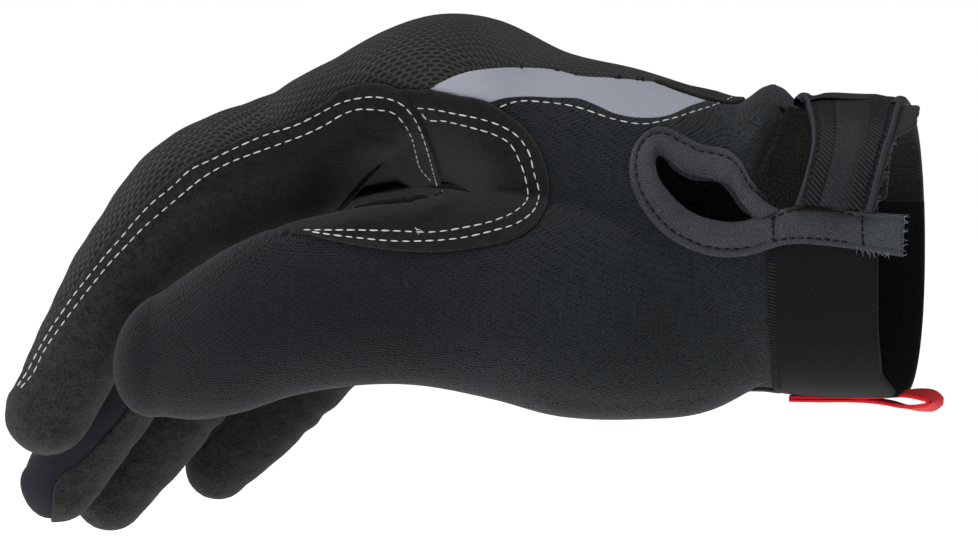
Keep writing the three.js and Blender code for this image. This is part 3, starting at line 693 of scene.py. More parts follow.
def finger_folds(points, places):
    """Small rolls and creases along the fingers, where the cloth gathers at the joints."""
    total = np.zeros(len(points))
    for place, finger in zip(places, FINGERS):
        s, a, b, half, length, gap = place
        on = np.exp(-np.abs(gap) / 1.5)
        joints = np.cumsum(finger[6])[:2] * length
        under = ramp(-b / half, -0.3, 0.6)
        top = ramp(b / half, 0.1, 0.8)
        wave = np.zeros(len(points))
        for joint in joints:
            d = s - joint
            wave += under * (0.26 * np.cos(d * 2 * np.pi / 6.4) - 0.3) * np.exp(-((d / 6.5) ** 2))
            wave += top * 0.4 * np.exp(-((d / 7.5) ** 2))
        wave += 0.16 * np.sin(s * 0.55 + a * 0.35) * np.cos(s * 0.21 - b * 0.3)
        total += on * wave
    return total


points, triangles = fused_skin()
edges = edges_of(triangles)
points = relaxed(points, edges, 8)
normals = point_normals(points, triangles)
if (normals * (points - points.mean(0))).sum() < 0:
    triangles = triangles[:, ::-1]
    normals = -normals

# Limits between the panels: x, y and z in millimetres, columns and lines in pixels, shares of the palm
THUMB_SIDE_Y = -12
HOLLOW_Y = -8
HOLLOW_COLUMNS = 276, 446
CUFF_SIDE_Y = -4
CUFF_TOP_Z = 12
BAND_SEAM = [(240, 766), (391, 774), (400, 778)]
BAND_BREADTH = 26
BAND_TOP_NEAR = 4.0
BAND_TOP_FAR = 10.2
WRIST_KNIT = 0.25
KNIT_REACH = 88
THUMB_SUEDE_START = 0.68
OFF_PALM = 1.2

# The skin, with its folds
finger_places = [finger_place(points, finger) for finger in FINGERS]
points += normals * finger_folds(points, finger_places)[:, None]
facing = normals @ FORWARD < 0
pixels = seen(points)
hand_side = facing & (points[:, 1] < THUMB_SIDE_Y)
push = np.where(hand_side, fold_depth(pixels) + wrist_folds(pixels), 0)
points += FORWARD * push[:, None]
points = relaxed(points, edges, 2)
normals = point_normals(points, triangles)
facing = normals @ FORWARD < 0
pixels = seen(points)

# How near each point lies to the palm, the thumb and the fingers
palm_a, palm_b, palm_gap = palm_place(points)
thumb_a, thumb_b, thumb_gap = thumb_place(points)
finger_places = [finger_place(points, finger) for finger in FINGERS]
gaps = np.stack([palm_gap, thumb_gap] + [place[5] for place in finger_places])
nearness = np.exp(-np.abs(gaps))
nearness /= nearness.sum(0)
owner = np.abs(gaps).argmin(0)

along = (MOUTH_TRIM - points[:, 0]) / PALM_LENGTH
level = np.interp(along, [row[0] for row in FAR_LEVEL], [row[1] for row in FAR_LEVEL])
thumb_seam = smooth_line([(palm_x(a), b * PALM_BREADTH) for a, b in THUMB_SEAM], 60)
seam_y = np.interp(-points[:, 0], -thumb_seam[:, 0], thumb_seam[:, 1])

mesh_edge = INDEX_EDGE + [(415, 90)] + STRIP_TOP + [(745, 100), (800, 108)]
mesh_near = -side_distance(pixels, mesh_edge, 200) * PIXEL


def mixed(of_palm, of_thumb, of_fingers):
    """One value from those of the palm, the thumb and the fingers, each by its nearness."""
    return (nearness * np.stack([of_palm, of_thumb] + of_fingers)).sum(0)


# How much of a fingertip is suede, how far the middle finger's side strip comes round, and how near the
# skin has to lie to the thumb's own form to be the thumb's suede
TIP_SUEDE = 8
TIP_WRAP = 3.4
ON_THUMB = 1.8

# How steeply the mesh and the side strips end at a fingertip, and how far the strips reach into the hand
MESH_END = 1.1
STRIP_END = 0.45
STRIP_ROOT = 5

# Points that a seam doesn't concern get this distance outside it
FAR_OUTSIDE = -8.0
none = np.full(len(points), FAR_OUTSIDE)
back_fields = []
fork_fields = []
for k, (s, a, b, half, length, gap) in enumerate(finger_places):
    near, far = FORK_SEAMS[k]
    low = np.where(a < 0, near[0], far[0]) * half
    high = np.where(a < 0, near[1], far[1]) * half
    to_end = length + half - TIP_SUEDE - s
    rise = np.minimum(b - high, MESH_END * to_end)
    fork = np.minimum(high - b, b - low)
    fork = np.minimum(fork, STRIP_END * (to_end - 1))
    from_root = s - FINGERS[k][8] * length + STRIP_ROOT
    fork = np.minimum(fork, from_root)
    if k == 0:
        rise = np.where(facing, mesh_near, rise)
        fork = np.minimum(fork, a)
    if k == 1:
        edge = side_distance(pixels, MIDDLE_FORK_EDGE, 60) * PIXEL
        hidden = (MIDDLE_FORK_START - pixels[:, 0]) * PIXEL
        toward_thumb = np.minimum(np.minimum(edge, hidden), np.minimum(1.15 * half - b, TIP_WRAP - a))
        toward_thumb = np.minimum(toward_thumb, from_root)
        fork = np.maximum(toward_thumb, np.minimum(fork, a))
    if k == 2:
        fork = np.where(a < 0, np.minimum(fork, (RING_FORK_START - pixels[:, 0]) * PIXEL), fork)
    if k == 3:
        fork = np.minimum(fork, -a)
    back_fields.append(rise)
    fork_fields.append(fork)
palm_back = np.where(facing & (points[:, 1] < 0), mesh_near, palm_b - level)
field_back = mixed(palm_back, none, back_fields)
field_fork = mixed(none, none, fork_fields)

# Each field is above 0 on its own panel and falls to 0 at the seam
saddle_outline = np.vstack([
    smooth_line(SADDLE_EDGE, 90), smooth_line(FLAP_EDGE, 30)[::-1], smooth_line(INDEX_END, 24)[::-1],
])
strip_outline = np.vstack([smooth_line(STRIP_TOP, 60), smooth_line(STRIP_BOTTOM, 70)[::-1]])
hole_outline = smooth_line(SLIT_HOLE, 80, closed=True)
thumb_side = facing & (owner < 3) & (points[:, 1] < THUMB_SIDE_Y)


def on_thumb_side(outline):
    """Distance inside an outline of pixels, in millimetres, on the side that the photograph shows."""
    return np.where(thumb_side, outline_distance(pixels, outline) * PIXEL, FAR_OUTSIDE)


field_saddle = on_thumb_side(saddle_outline)
field_strip = on_thumb_side(strip_outline)
field_hole = on_thumb_side(hole_outline)
band_line = np.array(BAND_SEAM)
band_near = (pixels[:, 0] - np.interp(pixels[:, 1], band_line[:, 0], band_line[:, 1])) * PIXEL
band_front = np.where(facing, band_near, points[:, 0] + BAND_BREADTH)
band_top = np.where(points[:, 1] < 0, BAND_TOP_NEAR, BAND_TOP_FAR) - points[:, 2]
field_band = np.minimum(band_front, band_top)
field_wrist = points[:, 0] - palm_x(WRIST_KNIT)
cuff_line = np.array(CUFF_EDGE)
mouth_near = (np.interp(pixels[:, 1], cuff_line[:, 1], cuff_line[:, 0]) - pixels[:, 0]) * PIXEL
field_mouth = MOUTH_TRIM - points[:, 0]
near_cuff = facing & (points[:, 1] < CUFF_SIDE_Y) & (points[:, 2] < CUFF_TOP_Z)
field_mouth = np.where(near_cuff, np.minimum(field_mouth, mouth_near), field_mouth)
outer_side = seam_y - points[:, 1]
upper_wrist = np.minimum(field_wrist, palm_b - level)
palm_knit = np.maximum(np.minimum(outer_side, points[:, 0] + KNIT_REACH), upper_wrist)
field_knit = mixed(palm_knit, outer_side, [none] * 4)
under_flap = -side_distance(pixels, FLAP_EDGE, 40) * PIXEL
in_hollow = (pixels[:, 0] > HOLLOW_COLUMNS[0]) & (pixels[:, 0] < HOLLOW_COLUMNS[1])
in_hollow &= points[:, 1] < HOLLOW_Y
field_knit = np.where(in_hollow, np.minimum(field_knit, under_flap), field_knit)
nearest_other = np.minimum(np.abs(np.delete(gaps, 1, axis=0)).min(0), ON_THUMB)
past_palm = np.minimum(palm_x(THUMB_SUEDE_START) - points[:, 0], palm_gap - OFF_PALM)
field_thumb_suede = np.minimum(past_palm, nearest_other - np.abs(thumb_gap))


def arc_from_top(a, b, half_side, half_up):
    """Length round an oval section from its top to a point, above 0 toward the far side."""
    turn = np.arctan2(b / half_up, a / half_side)
    turn = np.where(turn < -np.pi / 2, turn + 2 * np.pi, turn)
    span = np.pi / 2 - turn
    total = np.zeros(len(a))
    for k in range(24):
        t = np.pi / 2 - span * (k + 0.5) / 24
        total += np.sqrt((half_side * np.sin(t)) ** 2 + (half_up * np.cos(t)) ** 2) * span / 24
    return total


# Where the thumb's section meets the palm's, along the arc, in millimetres
THUMB_ARC_START = 22

_, _, palm_side, palm_up, _ = palm_rows(points[:, 0])
_, _, thumb_side_half, thumb_up_half = thumb_rows(points[:, 0])
grain_u = [-points[:, 0], -points[:, 0]]
grain_v = [
    arc_from_top(palm_a, palm_b, palm_side, palm_up),
    arc_from_top(thumb_a, thumb_b, thumb_side_half, thumb_up_half) - THUMB_ARC_START,
]
for (s, a, b, half, length, gap), finger in zip(finger_places, FINGERS):
    grain_u.append(s - palm_x(finger[3]))
    grain_v.append(arc_from_top(a, b, half, half) + finger[4] * PALM_BREADTH)
blend = nearness.T.copy()
for _ in range(50):
    blend = 0.5 * blend + 0.5 * neighbour_mean(blend, edges, len(points))
blend /= blend.sum(1)[:, None]
grain = np.stack([(blend * np.stack(given, 1)).sum(1) for given in (grain_u, grain_v)], axis=1)

# The skin is cut along every seam in turn, and each triangle then gets its panel's name
names = ["mouth", "hole", "band", "saddle", "strip", "wrist", "back", "fork", "knit", "thumb_suede"]
fields = np.stack([
    field_mouth, field_hole, field_band, field_saddle, field_strip, field_wrist, field_back, field_fork,
    field_knit, field_thumb_suede,
], axis=1)
for k in range(fields.shape[1]):
    steep = steepness(fields[:, k], points, triangles)
    fields[:, k] /= np.clip(steep, 0.5, 2.5)


def slit(points, triangles, values, k):
    """Cuts the skin where field k passes zero. values holds every field and what else the points keep."""
    f = values[:, k]
    inside = f > 0
    pairs = np.sort(triangles[:, [0, 1, 1, 2, 2, 0]].reshape(-1, 2), axis=1)
    crossing = inside[pairs[:, 0]] != inside[pairs[:, 1]]
    if not crossing.any():
        return points, triangles, values
    cut, place = np.unique(pairs[crossing], axis=0, return_inverse=True)
    place = place.ravel()
    t = f[cut[:, 0]] / (f[cut[:, 0]] - f[cut[:, 1]])
    t = np.clip(t, 0.02, 0.98)[:, None]
    new_points = points[cut[:, 0]] * (1 - t) + points[cut[:, 1]] * t
    new_values = values[cut[:, 0]] * (1 - t) + values[cut[:, 1]] * t
    new_values[:, k] = 0
    index = np.full(len(pairs), -1)
    index[crossing] = len(points) + place
    index = index.reshape(-1, 3)
    touched = (index >= 0).any(1)
    kept = triangles[~touched]
    tri = triangles[touched]
    mid = index[touched]
    lone = np.argmin(mid[:, [1, 2, 0]], axis=1)
    rows = np.arange(len(tri))
    a = tri[rows, lone]
    b = tri[rows, (lone + 1) % 3]
    c = tri[rows, (lone + 2) % 3]
    ab = mid[rows, lone]
    ca = mid[rows, (lone + 2) % 3]
    pieces = np.vstack([
        np.stack([a, ab, ca], axis=1),
        np.stack([ab, b, c], axis=1),
        np.stack([ab, c, ca], axis=1),
    ])
    points = np.vstack([points, new_points])
    return points, np.vstack([kept, pieces]), np.vstack([values, new_values])


extra = np.hstack([fields, normals, owner[:, None], grain])
for k in range(len(names)):
    points, triangles, extra = slit(points, triangles, extra, k)
fields = extra[:, :len(names)]
normals = extra[:, len(names):len(names) + 3]
normals /= np.linalg.norm(normals, axis=1)[:, None]
owner = np.round(extra[:, len(names) + 3]).astype(int)
grain = extra[:, len(names) + 4:]
at_face = fields[triangles].mean(1)
value = {name: at_face[:, k] for k, name in enumerate(names)}
face_owner = np.median(owner[triangles], axis=1).astype(int)

label = np.full(len(triangles), "palm", dtype=object)
label[(value["knit"] < 0) & (value["thumb_suede"] > 0)] = "thumb_suede"
label[value["knit"] > 0] = "knit"
label[value["fork"] > 0] = "fork"
label[(value["back"] > 0) & (value["wrist"] < 0)] = "back"
label[value["strip"] > 0] = "strip"
label[value["saddle"] > 0] = "saddle"
label[value["band"] > 0] = "band"
label[value["hole"] > 0] = "none"
label[value["mouth"] < 0] = "none"


# Finishes

def value_group(name, inputs, outputs):
    """An empty shader group with named inputs and outputs."""
    tree = bpy.data.node_groups.new(name, "ShaderNodeTree")
    for socket, kind, start in inputs:
        made = tree.interface.new_socket(socket, in_out="INPUT", socket_type=kind)
        if start is not None:
            made.default_value = start
    for socket, kind in outputs:
        tree.interface.new_socket(socket, in_out="OUTPUT", socket_type=kind)
    return tree, tree.nodes.new("NodeGroupInput").outputs, tree.nodes.new("NodeGroupOutput").inputs


def math_node(tree, kind, first, second=None, third=None):
    """One sum of numbers or outputs."""
    node = tree.nodes.new("ShaderNodeMath")
    node.operation = kind
    for slot, given in enumerate((first, second, third)):
        if given is None:
            continue
        if isinstance(given, (int, float)):
            node.inputs[slot].default_value = given
        else:
            tree.links.new(given, node.inputs[slot])
    return node.outputs[0]


def soft_step(tree, given, low, high):
    """0 below low, 1 above high, smooth between, in a shader."""
    node = tree.nodes.new("ShaderNodeMapRange")
    node.interpolation_type = "SMOOTHSTEP"
    tree.links.new(given, node.inputs["Value"])
    node.inputs["From Min"].default_value = low
    node.inputs["From Max"].default_value = high
    return node.outputs["Result"]


def noise(tree, vector, scale, detail=2.0, rough=0.5):
    """Soft random spots, as many to a unit as scale says."""
    node = tree.nodes.new("ShaderNodeTexNoise")
    tree.links.new(vector, node.inputs["Vector"])
    if isinstance(scale, (int, float)):
        node.inputs["Scale"].default_value = scale
    else:
        tree.links.new(scale, node.inputs["Scale"])
    node.inputs["Detail"].default_value = detail
    node.inputs["Roughness"].default_value = rough
    return node.outputs["Fac"]


def make_nap():
    """Brushed fibres: short soft grain with cloudy patches where the nap lies another way."""
    tree, given, out = value_group(
        "Brushed nap",
        [
            ("Place", "NodeSocketVector", None),
            ("Fibre", "NodeSocketFloat", 2600.0),
            ("Cloud", "NodeSocketFloat", 120.0),
        ],
        [("Height", "NodeSocketFloat"), ("Shade", "NodeSocketFloat")],
    )
    fine = noise(tree, given["Place"], given["Fibre"], 3.0, 0.65)
    cloud = noise(tree, given["Place"], given["Cloud"], 3.0, 0.6)
    lint = noise(tree, given["Place"], 900.0, 1.0, 0.5)
    speck = soft_step(tree, lint, 0.68, 0.78)
    height = math_node(tree, "MULTIPLY_ADD", cloud, 0.6, fine)
    shade = math_node(tree, "MULTIPLY_ADD", fine, 0.9, math_node(tree, "MULTIPLY", cloud, 0.5))
    shade = math_node(tree, "MULTIPLY_ADD", speck, 0.25, shade)
    tree.links.new(height, out["Height"])
    tree.links.new(shade, out["Shade"])
    return tree


def make_bricks():
    """Staggered rows of short hollows, as knitted cloth has. The grain's map is in millimetres."""
    tree, given, out = value_group(
        "Knit rows",
        [
            ("Grain", "NodeSocketVector", None),
            ("Stitch length", "NodeSocketFloat", 2.4),
            ("Row", "NodeSocketFloat", 0.9),
            ("Stagger", "NodeSocketFloat", 0.5),
            ("Wander", "NodeSocketFloat", 0.2),
            ("Hollow length", "NodeSocketFloat", 0.6),
            ("Hollow height", "NodeSocketFloat", 0.35),
        ],
        [("Hollow", "NodeSocketFloat"), ("Round", "NodeSocketFloat")],
    )
    link = tree.links.new
    wander = tree.nodes.new("ShaderNodeTexNoise")
    link(given["Grain"], wander.inputs["Vector"])
    wander.inputs["Scale"].default_value = 0.35
    shift = tree.nodes.new("ShaderNodeVectorMath")
    shift.operation = "MULTIPLY_ADD"
    link(wander.outputs["Color"], shift.inputs[0])
    amount = tree.nodes.new("ShaderNodeCombineXYZ")
    link(given["Wander"], amount.inputs[0])
    link(given["Wander"], amount.inputs[1])
    link(amount.outputs[0], shift.inputs[1])
    link(given["Grain"], shift.inputs[2])
    split = tree.nodes.new("ShaderNodeSeparateXYZ")
    link(shift.outputs[0], split.inputs[0])
    row = math_node(tree, "DIVIDE", split.outputs[1], given["Row"])
    number = math_node(tree, "FLOOR", row)
    column = math_node(tree, "DIVIDE", split.outputs[0], given["Stitch length"])
    column = math_node(tree, "MULTIPLY_ADD", number, given["Stagger"], column)
    u = math_node(tree, "ABSOLUTE", math_node(tree, "SUBTRACT", math_node(tree, "FRACT", column), 0.5))
    v = math_node(tree, "ABSOLUTE", math_node(tree, "SUBTRACT", math_node(tree, "FRACT", row), 0.5))
    across = math_node(tree, "DIVIDE", u, math_node(tree, "MULTIPLY", given["Hollow length"], 0.5))
    down = math_node(tree, "DIVIDE", v, math_node(tree, "MULTIPLY", given["Hollow height"], 0.5))
    across = math_node(tree, "POWER", across, 3.0)
    down = math_node(tree, "POWER", down, 2.0)
    both = math_node(tree, "ADD", across, down)
    hollow = math_node(tree, "SUBTRACT", 1.0, soft_step(tree, both, 0.3, 1.5))
    bow = math_node(tree, "MULTIPLY", math_node(tree, "POWER", v, 2.0), 4.0)
    rounding = math_node(tree, "SUBTRACT", 1.0, bow)
    link(hollow, out["Hollow"])
    link(rounding, out["Round"])
    return tree


def make_ribs():
    """Straight raised ribs or twill lines across a millimetre map, at a slant."""
    tree, given, out = value_group(
        "Slanted ribs",
        [
            ("Grain", "NodeSocketVector", None),
            ("Pitch", "NodeSocketFloat", 0.55),
            ("Slant", "NodeSocketFloat", 1.0),
            ("Wander", "NodeSocketFloat", 0.0),
        ],
        [("Rib", "NodeSocketFloat")],
    )
    wander = noise(tree, given["Grain"], 0.8, 2.0)
    split = tree.nodes.new("ShaderNodeSeparateXYZ")
    tree.links.new(given["Grain"], split.inputs[0])
    slanted = math_node(tree, "MULTIPLY_ADD", split.outputs[1], given["Slant"], split.outputs[0])
    slanted = math_node(tree, "MULTIPLY_ADD", wander, given["Wander"], slanted)
    turns = math_node(tree, "DIVIDE", slanted, given["Pitch"])
    wave = math_node(tree, "MULTIPLY", turns, 2 * math.pi)
    rib = math_node(tree, "MULTIPLY_ADD", math_node(tree, "SINE", wave), 0.5, 0.5)
    tree.links.new(rib, out["Rib"])
    return tree


def make_edge_wear():
    """1 at a panel's cut edge, fading inward over a width, broken up by fibres."""
    tree, given, out = value_group(
        "Edge wear",
        [
            ("Place", "NodeSocketVector", None),
            ("From edge", "NodeSocketFloat", 5.0),
            ("Width", "NodeSocketFloat", 0.8),
        ],
        [("Wear", "NodeSocketFloat")],
    )
    share = math_node(tree, "DIVIDE", given["From edge"], given["Width"])
    rough = noise(tree, given["Place"], 1500.0, 2.0)
    share = math_node(tree, "MULTIPLY_ADD", rough, 0.8, share)
    wear = math_node(tree, "SUBTRACT", 1.0, soft_step(tree, share, 0.35, 1.35))
    tree.links.new(wear, out["Wear"])
    return tree


NAP = make_nap()
BRICKS = make_bricks()
RIBS = make_ribs()
EDGE_WEAR = make_edge_wear()


class Finish:
    """A material with its shader, and short ways to add to it."""

    def __init__(self, name, roughness, sheen=0.0):
        self.material = bpy.data.materials.new(name)
        self.material.use_nodes = True
        self.tree = self.material.node_tree
        self.shader = self.tree.nodes["Principled BSDF"]
        self.shader.inputs["Roughness"].default_value = roughness
        self.shader.inputs["Sheen Weight"].default_value = sheen
        self.shader.inputs["Sheen Roughness"].default_value = 0.5
        self.shader.inputs["Specular IOR Level"].default_value = 0.06
        self.place = self.tree.nodes.new("ShaderNodeTexCoord").outputs["Object"]
        self.bump = None

    def grain(self):
        """The cloth's own map, in millimetres."""
        node = self.tree.nodes.new("ShaderNodeUVMap")
        node.uv_map = "grain"
        return node.outputs["UV"]

    def from_edge(self):
        """Millimetres from the panel's cut edge."""
        node = self.tree.nodes.new("ShaderNodeAttribute")
        node.attribute_name = "from_edge"
        return node.outputs["Fac"]

    def split(self, vector):
        """The three parts of a vector."""
        node = self.tree.nodes.new("ShaderNodeSeparateXYZ")
        self.tree.links.new(vector, node.inputs[0])
        return node.outputs

    def math(self, kind, first, second=None, third=None):
        return math_node(self.tree, kind, first, second, third)

    def step(self, given, low, high):
        return soft_step(self.tree, given, low, high)

    def toward_tips(self, low, high):
        """0 nearer the cuff than low, 1 further than high, in metres along the glove."""
        return self.step(self.math("MULTIPLY", self.split(self.place)[0], -1.0), low, high)

    def use(self, group, links, **numbers):
        """A shared group with its links, and its numbers where they aren't the group's own."""
        node = self.tree.nodes.new("ShaderNodeGroup")
        node.node_tree = group
        for key, output in links.items():
            self.tree.links.new(output, node.inputs[key])
        for key, number in numbers.items():
            node.inputs[key.replace("_", " ")].default_value = number
        return node.outputs

    def shade(self, share, dark, light):
        """A colour between two others."""
        node = self.tree.nodes.new("ShaderNodeMix")
        node.data_type = "RGBA"
        self.tree.links.new(share, node.inputs["Factor"])
        for slot, given in ((6, dark), (7, light)):
            if isinstance(given, tuple):
                node.inputs[slot].default_value = (*given, 1)
            else:
                self.tree.links.new(given, node.inputs[slot])
        return node.outputs[2]

    def raise_by(self, height, distance):
        """Raises the surface by a height, at most a distance in millimetres."""
        node = self.tree.nodes.new("ShaderNodeBump")
        node.inputs["Distance"].default_value = distance * MM
        node.inputs["Strength"].default_value = 1.0
        self.tree.links.new(height, node.inputs["Height"])
        if self.bump is not None:
            self.tree.links.new(self.bump, node.inputs["Normal"])
        self.bump = node.outputs["Normal"]

    def done(self, color):
        """The finished material in a colour."""
        self.tree.links.new(color, self.shader.inputs["Base Color"])
        self.tree.links.new(self.bump, self.shader.inputs["Normal"])
        return self.material


def suede_finish(name, dark, light, tip_light, edge):
    """Brushed suede with painted light that makes it paler toward the fingertips, and paler along its cut
    edges where they are worn.
    """
    f = Finish(name, 0.95, 0.08)
    nap = f.use(NAP, {"Place": f.place}, Fibre=2100.0, Cloud=500.0)
    # Painted light: the light colour turns paler toward the fingertips, as if lit from the lower left
    light = f.shade(f.toward_tips(0.12, 0.195), light, tip_light)
    color = f.shade(f.step(nap["Shade"], 0.4, 1.0), dark, light)
    wear = f.use(EDGE_WEAR, {"Place": f.place, "From edge": f.from_edge()}, Width=0.7)["Wear"]
    color = f.shade(f.math("MULTIPLY", wear, 0.3), color, edge)
    f.raise_by(nap["Height"], 0.38)
    return f.done(color)


def mesh_finish():
    """Air mesh: rows of deep hollows between black yarns, with painted shade in the hollows."""
    f = Finish("dimpled_mesh", 0.85, 0.08)
    knit = f.use(
        BRICKS, {"Grain": f.grain()},
        Stitch_length=2.3, Row=0.95, Stagger=0.5, Wander=0.35, Hollow_length=0.78, Hollow_height=0.58,
    )
    yarn = f.use(NAP, {"Place": f.place}, Fibre=3800.0, Cloud=60.0)
    color = f.shade(f.step(yarn["Shade"], 0.4, 1.1), (0.02, 0.0199, 0.0198), (0.05, 0.0495, 0.049))
    # Painted shade: the hollows are darkened toward near black
    color = f.shade(f.math("MULTIPLY", knit["Hollow"], 0.88), color, (0.003, 0.003, 0.0032))
    f.raise_by(f.math("SUBTRACT", knit["Round"], knit["Hollow"]), 0.5)
    f.raise_by(yarn["Height"], 0.06)
    return f.done(color)


def tricot_finish():
    """Smooth knit with broken dark dashes, bluer at the wrist and browner at the thumb's tip."""
    f = Finish("smooth_tricot", 0.85, 0.09)
    knit = f.use(
        BRICKS, {"Grain": f.grain()},
        Stitch_length=1.7, Row=0.62, Stagger=0.5, Wander=0.22, Hollow_length=0.78, Hollow_height=0.6,
    )
    rows = f.use(
        BRICKS, {"Grain": f.grain()},
        Stitch_length=0.9, Row=0.45, Stagger=0.5, Wander=0.15, Hollow_length=0.75, Hollow_height=0.7,
    )
    yarn = f.use(NAP, {"Place": f.place}, Fibre=3000.0, Cloud=35.0)
    columns = f.tree.nodes.new("ShaderNodeVectorMath")
    columns.operation = "MULTIPLY"
    f.tree.links.new(f.grain(), columns.inputs[0])
    columns.inputs[1].default_value = (1, 0.3, 1)
    patchy = f.step(noise(f.tree, columns.outputs[0], 0.9, 3.0, 0.7), 0.34, 0.62)
    dash = f.math("MULTIPLY", knit["Hollow"], patchy)
    toward_tip = f.toward_tips(0.055, 0.11)
    dark = f.shade(toward_tip, (0.006, 0.0081, 0.01), (0.005, 0.0047, 0.0074))
    light = f.shade(toward_tip, (0.0192, 0.0234, 0.0267), (0.0128, 0.0121, 0.0166))
    color = f.shade(f.step(yarn["Shade"], 0.4, 1.1), dark, light)
    color = f.shade(f.math("MULTIPLY", dash, 0.85), color, (0.0024, 0.0028, 0.0036))
    f.raise_by(f.math("SUBTRACT", 1.0, dash), 0.16)
    f.raise_by(f.math("SUBTRACT", 1.0, rows["Hollow"]), 0.12)
    return f.done(color)


def plain_knit_finish(name, dark, light, roughness, fibre=2600.0, height=0.08):
    """A fine plain knit."""
    f = Finish(name, roughness, 0.04)
    rows = f.use(
        BRICKS, {"Grain": f.grain()},
        Stitch_length=0.6, Row=0.45, Stagger=0.5, Wander=0.2, Hollow_length=0.7, Hollow_height=0.7,
    )
    yarn = f.use(NAP, {"Place": f.place}, Fibre=fibre, Cloud=60.0)
    loops = f.math("SUBTRACT", 1.0, f.math("MULTIPLY", rows["Hollow"], 0.7))
    share = f.math("MULTIPLY", f.step(yarn["Shade"], 0.3, 1.1), loops)
    color = f.shade(share, dark, light)
    f.raise_by(f.math("SUBTRACT", 1.0, rows["Hollow"]), height)
    return f.done(color)


def elastic_finish():
    """Woven elastic with crossing twill lines."""
    f = Finish("twill_elastic", 0.75, 0.03)
    twill = f.use(RIBS, {"Grain": f.grain()}, Pitch=0.5, Slant=0.8, Wander=0.2)["Rib"]
    back = f.use(RIBS, {"Grain": f.grain()}, Pitch=1.3, Slant=-0.7, Wander=1.6)["Rib"]
    yarn = f.use(NAP, {"Place": f.place}, Fibre=3000.0, Cloud=60.0)
    share = f.math("MULTIPLY", f.math("ADD", twill, f.math("MULTIPLY", back, 0.3)), 0.75)
    color = f.shade(f.step(share, 0.1, 1.0), (0.0022, 0.0021, 0.0028), (0.0085, 0.0082, 0.0105))
    fluff = f.math("MULTIPLY", f.step(yarn["Shade"], 0.8, 1.2), 0.2)
    color = f.shade(fluff, color, (0.03, 0.0295, 0.034))
    f.raise_by(twill, 0.07)
    return f.done(color)


def rubber_finish():
    """Ribbed rubber: strong ribs beside a fainter middle, painted shade in the grooves between the ribs, and
    a paler piping along the edges.
    """
    f = Finish("ribbed_rubber", 0.5)
    f.shader.inputs["Specular IOR Level"].default_value = 0.08
    rib = f.use(RIBS, {"Grain": f.grain()}, Pitch=1.05, Slant=0.75)["Rib"]
    middle = f.math("ABSOLUTE", f.split(f.grain())[1])
    beside = f.math("MULTIPLY_ADD", f.step(middle, 3.1, 3.4), 0.65, 0.35)
    to_rim = f.math("SUBTRACT", 1.0, f.step(middle, 6.6, 6.9))
    zone = f.math("MULTIPLY", beside, to_rim)
    height = f.math("MULTIPLY", f.step(rib, 0.35, 0.7), zone)
    grain = noise(f.tree, f.place, 1800.0, 2.0)
    color = f.shade(f.step(grain, 0.3, 0.8), (0.013, 0.0126, 0.0158), (0.027, 0.0262, 0.0322))
    # Painted shade: the grooves between the ribs are darkened
    groove_shade = f.math("MULTIPLY", f.math("SUBTRACT", zone, height), 0.95)
    color = f.shade(groove_shade, color, (0.0015, 0.0015, 0.002))
    piping = f.step(middle, 7.35, 7.8)
    color = f.shade(f.math("MULTIPLY", piping, 0.8), color, (0.03, 0.029, 0.037))
    f.raise_by(height, 0.35)
    f.raise_by(grain, 0.03)
    return f.done(color)


def webbing_finish():
    """Red woven tape."""
    f = Finish("red_webbing", 0.6, 0.05)
    weave = f.use(
        BRICKS, {"Grain": f.grain()},
        Stitch_length=0.7, Row=0.5, Stagger=0.5, Wander=0.05, Hollow_length=0.6, Hollow_height=0.6,
    )
    yarn = f.use(NAP, {"Place": f.place}, Fibre=2500.0, Cloud=90.0)
    color = f.shade(f.step(yarn["Shade"], 0.4, 1.1), (0.45, 0.008, 0.014), (0.68, 0.02, 0.03))
    color = f.shade(f.math("MULTIPLY", weave["Hollow"], 0.5), color, (0.3, 0.004, 0.008))
    f.raise_by(f.math("SUBTRACT", 1.0, weave["Hollow"]), 0.12)
    return f.done(color)


def thread_finish(name, color, tint):
    """Yarn of two mixed shades."""
    f = Finish(name, 0.6, 0.04)
    fine = noise(f.tree, f.place, 4000.0, 2.0)
    made = f.shade(fine, color, tint)
    f.raise_by(fine, 0.04)
    return f.done(made)


# The third colour is painted light toward the fingertips, the fourth the worn cut edges
SUEDE_COLOR = suede_finish(
    "brushed_suede", (0.0045, 0.0043, 0.0042), (0.013, 0.0124, 0.012), (0.034, 0.0315, 0.0305),
    (0.023, 0.0214, 0.02),
)
MESH_COLOR = mesh_finish()
TRICOT_COLOR = tricot_finish()
NAVY_COLOR = plain_knit_finish("navy_knit", (0.009, 0.0088, 0.0125), (0.0245, 0.0238, 0.033), 0.85)
STRIP_COLOR = plain_knit_finish("pale_knit", (0.22, 0.235, 0.275), (0.29, 0.305, 0.35), 0.6, 2200.0, 0.03)
BINDING_COLOR = plain_knit_finish(
    "ribbed_binding", (0.018, 0.0205, 0.0235), (0.08, 0.0865, 0.0965), 0.85, 2400.0, 0.3,
)
ELASTIC_COLOR = elastic_finish()
RUBBER_COLOR = rubber_finish()
WEBBING_COLOR = webbing_finish()
PILE_COLOR = thread_finish("loop_pile", (0.0008, 0.0008, 0.0007), (0.024, 0.0225, 0.0185))
PILE_GROUND = thread_finish("loop_ground", (0.0008, 0.0008, 0.0007), (0.0025, 0.0024, 0.002))
FELT_COLOR = thread_finish("grey_felt", (0.003, 0.0034, 0.0028), (0.032, 0.034, 0.029))
PALE_THREAD = thread_finish("pale_thread", (0.34, 0.335, 0.33), (0.58, 0.57, 0.56))
DARK_THREAD = thread_finish("dark_thread", (0.0025, 0.0025, 0.0035), (0.008, 0.008, 0.01))
FRAY_THREAD = thread_finish("frayed_yarn", (0.06, 0.068, 0.075), (0.3, 0.31, 0.32))
